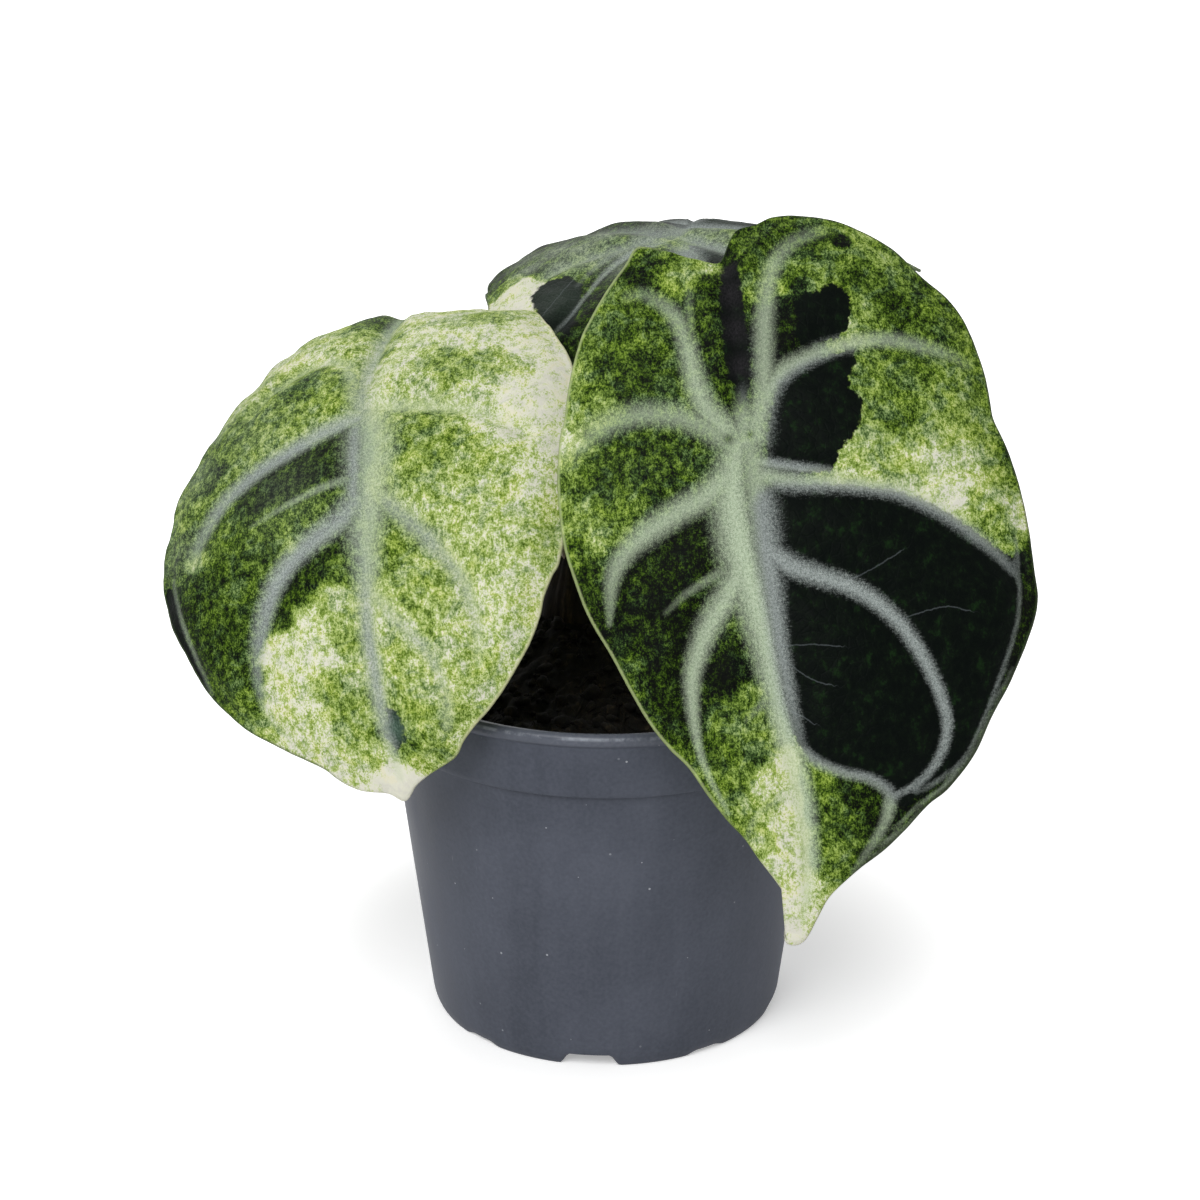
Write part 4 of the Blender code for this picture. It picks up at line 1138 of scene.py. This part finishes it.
def pot_material():
    s = Shader("pot_plastic", specular=0.12)
    spot = s.coordinates()
    cloud = s.noise(spot, 55.0, 3.0)
    streak = s.noise(spot, (260.0, 260.0, 22.0), 3.0, 0.6)
    grain = s.noise(spot, 1900.0)
    tone = s.vary(cloud, (streak, 0.5), (grain, 0.5))
    colour = s.ramp(tone, ((0.25, (69, 73, 83)), (0.75, (87, 91, 102))))

    # Dust specks.
    dots = s.node("ShaderNodeTexVoronoi", {"Vector": spot, "Scale": 1000.0}).outputs
    chance, width, strength = (s.axis(dots["Color"], index) for index in range(3))
    speck = s.math("LESS_THAN", dots["Distance"], s.smooth(width, 0.0, 1.0, 0.06, 0.16))
    speck = s.times(speck, s.math("GREATER_THAN", chance, 0.93), s.smooth(strength, 0.0, 1.0, 0.2, 0.9))
    colour = s.mix(speck, colour, (176, 178, 184))

    # Fine scratches, here and there.
    rare = s.smooth(s.noise(spot, 160.0, 2.0, 0.6), 0.56, 0.66)
    scratch = s.noise(spot, (1500.0, 1500.0, 90.0))
    scratch = s.times(s.smooth(scratch, 0.72, 0.78), rare, 0.3)
    colour = s.mix(scratch, colour, (140, 142, 150))

    # The lip: smoother, paler from a painted sheen, and with a painted highlight line, glinting, along its
    # top.
    height = s.axis(spot, 2)
    lip = s.smooth(height, 0.0476, 0.0480)
    lip_highlight = s.times(s.smooth(height, 0.0484, 0.0487), s.smooth(height, 0.0490, 0.0488))
    lip_highlight = s.times(lip_highlight, s.smooth(s.noise(spot, 500.0, 4.0, 0.7), 0.36, 0.66), 0.5)
    colour = s.mix(s.times(lip, 0.2), colour, (124, 128, 138))
    colour = s.mix(lip_highlight, colour, (176, 182, 190))

    roughness = s.sum(s.smooth(tone, 0.3, 0.7, 0.46, 0.58), (lip, -0.24))
    scuffed = s.times(s.noise(spot, 900.0, 3.0, 0.6), s.smooth(lip, 0.0, 1.0, 0.2, 2.2))
    normal = s.bump(s.vary(grain, (streak, 0.6), (scuffed, 1.0)), 0.00004, 0.5)
    return s.finish(colour, roughness, normal)


# Peat --------------------------------------------------------------------------------------------

# What the CAD leaves between neighbouring pieces.
GAP = 0.3
SOIL_LEVEL = 43.0
SOIL_SHOULDER = 38.0
SOIL_FLOOR = 3.1
SOIL_TUCK = 0.1
SOIL_STEPS = 200
SOIL_RINGS = 70
CRUMBS = 620
FIBRES = 260
FIBRE_KNOTS = 7
FIBRE_SIDES = 4
FIBRE_LIFT = 0.25
# Sizes as (least, random extra); a crumb's width and height are shares of its size.
CRUMB_SIZE = (0.35, 0.9)
CRUMB_WIDTH = (0.7, 0.5)
CRUMB_HEIGHT = (0.5, 0.4)
FIBRE_LENGTH = (1.5, 3.5)
FIBRE_GIRTH = (0.06, 0.1)
# How far crumbs and fibres stay from the wall.
WALL_INSET = 1.0
FIBRE_INSET = 2.5
HEAP_CENTRE = (-1.0, 11.0)
HEAP_HEIGHT = 10.0
HEAP_SPREAD = 10.0


def heap(x, y):
    away = hypot(x - HEAP_CENTRE[0], y - HEAP_CENTRE[1])
    edge = min(hypot(x, y) / (inner_radius(SOIL_LEVEL) - GAP), 1.0)
    return HEAP_HEIGHT * np.exp(-0.5 * (away / HEAP_SPREAD) ** 2) * (1.0 - edge ** 8)


def soil_height(x, y):
    rough = 0.9 * noise.fractal((x / 5.0, y / 5.0, 3.1), 0.7, 2.0, 5)
    rough += 0.45 * noise.noise((x / 1.3, y / 1.3, 8.2)) + 0.2 * noise.noise((x / 0.5, y / 0.5, 1.7))
    return SOIL_LEVEL + heap(x, y) + rough


def make_soil(material, rng):
    top = inner_radius(SOIL_LEVEL) - SOIL_TUCK
    points = [(0.0, 0.0, soil_height(0.0, 0.0))]
    for ring in range(1, SOIL_RINGS + 1):
        for x, y, _ in ring_points(top * ring / SOIL_RINGS, 0.0, SOIL_STEPS):
            points.append((x, y, soil_height(x, y)))
    points += ring_points(inner_radius(COLLAR_BOTTOM) - SOIL_TUCK, SOIL_SHOULDER, SOIL_STEPS)
    points += ring_points(inner_radius(SOIL_FLOOR) - GAP, SOIL_FLOOR, SOIL_STEPS)
    points.append((0.0, 0.0, SOIL_FLOOR))
    faces = skin(SOIL_RINGS + 2, SOIL_STEPS)
    add_crumbs(points, faces, top, rng)
    add_fibres(points, faces, top, rng)
    return new_piece("peat", place(points), faces, material, "soil")


def scatter(reach, rng):
    """A random spot within reach of the pot's axis."""
    radius, turn = reach * rng.random() ** 0.5, 2 * pi * rng.random()
    return radius * cos(turn), radius * sin(turn)


def random_size(size, rng, skew=1.0):
    """A random size from (least, random extra); a skew above 1 favours the small."""
    return size[0] + size[1] * rng.random() ** skew


def add_crumbs(points, faces, top, rng):
    """Lumpy crumbs, lying on the peat."""
    ball = bmesh.new()
    bmesh.ops.create_icosphere(ball, subdivisions=2, radius=1.0)
    ball_points = np.array([vert.co[:] for vert in ball.verts])
    ball_faces = [tuple(vert.index for vert in face.verts) for face in ball.faces]
    ball.free()
    for crumb in range(CRUMBS):
        x, y = scatter(top - WALL_INSET, rng)
        size = random_size(CRUMB_SIZE, rng, skew=2.5)
        seed = Vector((crumb * 3.7, 0, 0))
        lumps = np.array([1 + 0.55 * noise.noise(Vector(p) * 1.4 + seed) for p in ball_points])
        scale = size * np.array([1.0, random_size(CRUMB_WIDTH, rng), random_size(CRUMB_HEIGHT, rng)])
        spin = Matrix.Rotation(2 * pi * rng.random(), 3, "Z") @ Matrix.Rotation(0.8 * rng.random(), 3, "X")
        shape = (ball_points * lumps[:, None] * scale) @ np.array(spin).T
        faces += [tuple(len(points) + index for index in face) for face in ball_faces]
        lift = soil_height(x, y) + 0.25 * size
        points += [(x + a, y + b, lift + c) for a, b, c in shape]


def add_fibres(points, faces, top, rng):
    """Thin bowed fibres, lying on the peat; one that reaches the wall turns back."""
    for _ in range(FIBRES):
        x, y = scatter(top - FIBRE_INSET, rng)
        heading, swing = 2 * pi * rng.random(), 1.2 * (rng.random() - 0.5)
        length, thick = random_size(FIBRE_LENGTH, rng), random_size(FIBRE_GIRTH, rng)
        faces += skin(FIBRE_KNOTS, FIBRE_SIDES, len(points))
        points.append((x, y, soil_height(x, y) + FIBRE_LIFT))
        for share in (knot / (FIBRE_KNOTS - 1) for knot in range(FIBRE_KNOTS)):
            way = heading + swing * share
            if hypot(x, y) > top - WALL_INSET:
                heading += pi
                way += pi
            centre = np.array([x, y, soil_height(x, y) + FIBRE_LIFT + 0.35 * sin(pi * share)])
            across = np.array([sin(way), -cos(way), 0.0])
            girth = thick * (1 - 0.6 * abs(2 * share - 1))
            for angle in circle(FIBRE_SIDES):
                points.append(centre + girth * (cos(angle) * across + sin(angle) * np.array([0, 0, 1.0])))
            x += cos(way) * length / (FIBRE_KNOTS - 1)
            y += sin(way) * length / (FIBRE_KNOTS - 1)
        points.append(centre)


def peat_material():
    s = Shader("peat", specular=0.15)
    spot = s.coordinates()
    lumps = s.noise(spot, 420.0, 5.0, 0.65)
    fibres = s.noise(spot, (900.0, 240.0, 500.0), 3.0, 0.6, 1.2)
    tone = s.vary(lumps, (fibres, 0.8))
    colour = s.ramp(tone, ((0.35, (8, 8, 6)), (0.6, (24, 21, 16)), (0.8, (56, 48, 36))))
    return s.finish(colour, s.smooth(fibres, 0.3, 0.7, 0.85, 1.0), s.bump(tone, 0.0003, 0.8))


# Crown and stalks --------------------------------------------------------------------------------

CROWN_CENTRE = (-2.0, 12.0)
CROWN_PROFILE = (
    (0.0, 60.4), (2.6, 60.3), (4.0, 59.8), (5.3, 58.2), (6.3, 55.0), (6.9, 51.0), (6.9, 47.0), (6.2, 43.0),
    (4.6, 40.5),
)
CROWN_TOP = 61.2
CROWN_STEPS = 120
CROWN_RINGS = 60
SHEATHS = 3
SHEATH_START = 40.0
SHEATH_RISE = 26.0
SHEATH_EDGE = 0.45
STALK_ROOT = 56.0
STALK_SPACING = 2.9
STALK_STEPS = 32
STALK_RINGS = 90
STALK_GIRTH = 1.6
STALK_TAPER = 0.45
# Extra girth at the stalk's foot and under its blade, and the groove's depth, as (size, reach): the
# reach is a share of the stalk's length.
STALK_FOOT = (0.35, 0.08)
STALK_COLLAR = (0.7, 0.035)
STALK_GROOVE = (0.28, 0.5)
# For each stalk: how far it climbs straight up, and how far below the blade it turns to meet it.
STALKS = {"front": (26.0, 20.0), "left": (22.0, 16.0), "back": (20.0, 20.0)}


def ruffle(turn, height, folds, rise):
    """Noise round the crown: more folds are finer ones, and rise is how tall they are in mm."""
    return noise.noise((cos(turn) * folds, sin(turn) * folds, height / rise))


def make_crown(material):
    """A knobbly stump wrapped in torn, ribbed sheaths."""
    x, y = CROWN_CENTRE
    line = through(CROWN_PROFILE, CROWN_RINGS)
    points = [(x, y, line[0][1])]
    for radius, height in line[1:]:
        for turn in circle(CROWN_STEPS):
            east, north = cos(turn), sin(turn)
            wrap = (turn / (2 * pi) * SHEATHS + (height - SHEATH_START) / SHEATH_RISE) % 1.0
            threads = 0.22 * ruffle(turn, height, 7, 9.0) + 0.12 * ruffle(turn, height, 19, 6.0)
            torn = 0.5 * ruffle(turn, height, 2.2, 3.0)
            ridge = SHEATH_EDGE * (1 - wrap) ** 3
            out = max(radius + (ridge + threads + 0.5 * torn) * min(radius / 3.0, 1.0), 0.0)
            up = height + (torn + 0.8 * threads) * min(radius / 2.0, 1.0)
            points.append((x + out * east, y + out * north, min(up, CROWN_TOP)))
    points.append((x, y, line[-1][1]))
    faces = skin(CROWN_RINGS - 1, CROWN_STEPS)
    return new_piece("crown_sheaths", place(points), faces, material, "crown")


def crown_material():
    s = Shader("crown_sheath", specular=0.2)
    spot = s.coordinates()
    fibres = s.noise(spot, (1100.0, 1100.0, 90.0), 4.0, 0.65)
    cloud = s.noise(spot, 160.0, 3.0, 0.6)
    tone = s.vary(fibres, (cloud, 0.9))
    colour = s.ramp(tone, ((0.3, (12, 10, 8)), (0.55, (34, 27, 19)), (0.8, (78, 64, 45))))
    return s.finish(colour, s.smooth(cloud, 0.3, 0.7, 0.8, 0.95), s.bump(fibres, 0.0003, 0.8))


def stalk_line(side, leaf):
    """The stalk's curve: out of the crown, up, and into the underside of the blade at its joint."""
    rise, reach = STALKS[side]
    joint = np.array(leaf["joint"])
    _, _, normal = blade_axes(leaf)
    toward = unit(np.array([joint[0] - CROWN_CENTRE[0], joint[1] - CROWN_CENTRE[1], 0.0]))
    root = np.array([*CROWN_CENTRE, STALK_ROOT]) + STALK_SPACING * toward
    top = joint - normal * (BLADE_THICKNESS + 1.0)
    knee = root + np.array([0.0, 0.0, rise]) + 0.15 * rise * toward
    arrive = top - reach * normal
    t = np.linspace(0, 1, STALK_RINGS)[:, None]
    return (1 - t) ** 3 * root + 3 * t * (1 - t) ** 2 * knee + 3 * t * t * (1 - t) * arrive + t ** 3 * top


def fading(share, size, reach):
    """size at the start, fading over its reach."""
    return size * np.exp(-share / reach)


def make_stalk(side, leaf, material):
    """A tapered stalk, grooved along its inner side, with a swollen collar under the blade."""
    line = stalk_line(side, leaf)
    ways = unit(np.gradient(line, axis=0))
    shares = np.linspace(0, 1, STALK_RINGS)
    lateral = np.cross(ways[0], np.array([0.0, 0.0, 1.0]) + 0.01 * blade_axes(leaf)[0])
    points = [line[0]]
    for centre, way, share in zip(line, ways, shares):
        lateral = unit(lateral - way * (lateral @ way))
        inner = np.cross(way, lateral)
        girth = STALK_GIRTH - STALK_TAPER * share + fading(share, *STALK_FOOT)
        girth += fading(1 - share, *STALK_COLLAR)
        groove = fading(share, *STALK_GROOVE) + 0.05
        for turn in circle(STALK_STEPS):
            dent = 1 - groove * np.exp(-((1 - cos(turn)) / 0.25) ** 2)
            radius = girth * dent * (1 + 0.02 * cos(9 * turn))
            points.append(centre + radius * (cos(turn) * inner + sin(turn) * lateral))
    points.append(line[-1])
    faces = skin(STALK_RINGS, STALK_STEPS)
    stalk = new_piece("stalk_" + side, place(points), faces, material, "petiole_" + side)
    rise = np.concatenate([[0.0], np.repeat(shares, STALK_STEPS), [1.0]])
    stalk.data.attributes.new("rise", "FLOAT", "POINT").data.foreach_set("value", rise)
    return stalk


def stalk_material():
    s = Shader("stalk", specular=0.35)
    spot = s.coordinates()
    lines = s.noise(spot, (1500.0, 1500.0, 160.0), 3.0, 0.6)
    mottle = s.noise(spot, 700.0, 3.0, 0.6)
    along = s.vary(s.number("rise"), (lines, 0.5), (mottle, 0.4))
    green = s.ramp(along, ((0.05, (150, 132, 118)), (0.25, (150, 158, 112)), (0.8, (146, 164, 104)),
                           (0.98, (172, 182, 134))))
    colour = s.mix(s.times(s.smooth(mottle, 0.56, 0.68), 0.5), green, (96, 84, 62))
    return s.finish(colour, s.smooth(lines, 0.3, 0.7, 0.4, 0.55), s.bump(lines, 0.0001, 0.5))


# Stage -------------------------------------------------------------------------------------------

WHITE = (1.0, 1.0, 1.0, 1.0)
WORLD_LEVEL = 0.36
FLOOR_LIFT = 0.36
FLOOR_REACH = 4000.0
FLOOR_COLOUR = (0.9, 0.9, 0.9, 1.0)
LAMP_TARGET = (0, 0, 55)
LAMPS = (
    # name, place from the pot's axis in mm, size in mm, watts
    ("key", (-280, -610, 720), 580, 5.8),
    ("fill", (560, -480, 420), 600, 0.15),
    ("back", (-120, 620, 620), 500, 1.2),
)


def make_floor():
    """A pale floor that looks white away from the pot and darker where the pot shades it."""
    mesh = bpy.data.meshes.new("floor")
    reach = FLOOR_REACH * MM
    corners = [(reach * x, reach * y, 0) for x, y in ((-1, -1), (1, -1), (1, 1), (-1, 1))]
    mesh.from_pydata(corners, [], [(0, 1, 2, 3)])
    floor = add("floor", mesh)
    s = Shader("floor", specular=0.0)
    away = s.node("ShaderNodeVectorMath", {0: s.coordinates()}, operation="LENGTH").outputs["Value"]
    lift = s.sum(s.smooth(away, 0.028, 0.065, FLOOR_LIFT, 0.8), (s.smooth(away, 0.1, 0.9), 0.2))
    s.put(s.surface["Emission Color"], WHITE)
    s.put(s.surface["Emission Strength"], s.times(s.looked_at(), lift))
    mesh.materials.append(s.finish(FLOOR_COLOUR, 0.9))


def make_world():
    """White to look at, and a dimmer light than that."""
    world = bpy.data.worlds.new("studio")
    bpy.context.scene.world = world
    world.use_nodes = True
    w = Nodes(world.node_tree)
    levels = {"Value": w.looked_at(), "To Min": WORLD_LEVEL, "To Max": 1.0}
    background = w.tree.nodes["Background"].inputs
    w.put(background["Color"], WHITE)
    w.put(background["Strength"], w.node("ShaderNodeMapRange", levels).outputs[0])


def make_lamps():
    target = Vector(place(LAMP_TARGET))
    for name, spot, size, power in LAMPS:
        data = bpy.data.lights.new(name, "AREA")
        data.shape = "DISK"
        data.size = size * MM
        data.energy = power
        lamp = add(name, data)
        lamp.location = place(spot)
        lamp.rotation_euler = (target - lamp.location).to_track_quat("-Z", "Y").to_euler()


PEAT_SEED = 7
WAVE_SEEDS = (11.3, 17.0, 22.7)


def main():
    make_camera()
    make_pot(pot_material())
    make_soil(peat_material(), np.random.default_rng(PEAT_SEED))
    make_crown(crown_material())
    stalk_green = stalk_material()
    for seed, (side, leaf) in zip(WAVE_SEEDS, LEAVES.items()):
        make_stalk(side, leaf, stalk_green)
        make_blade(side, leaf, blade_material(side, leaf), seed)
    make_floor()
    make_world()
    make_lamps()
    bpy.context.scene.view_settings.view_transform = "Standard"


main()
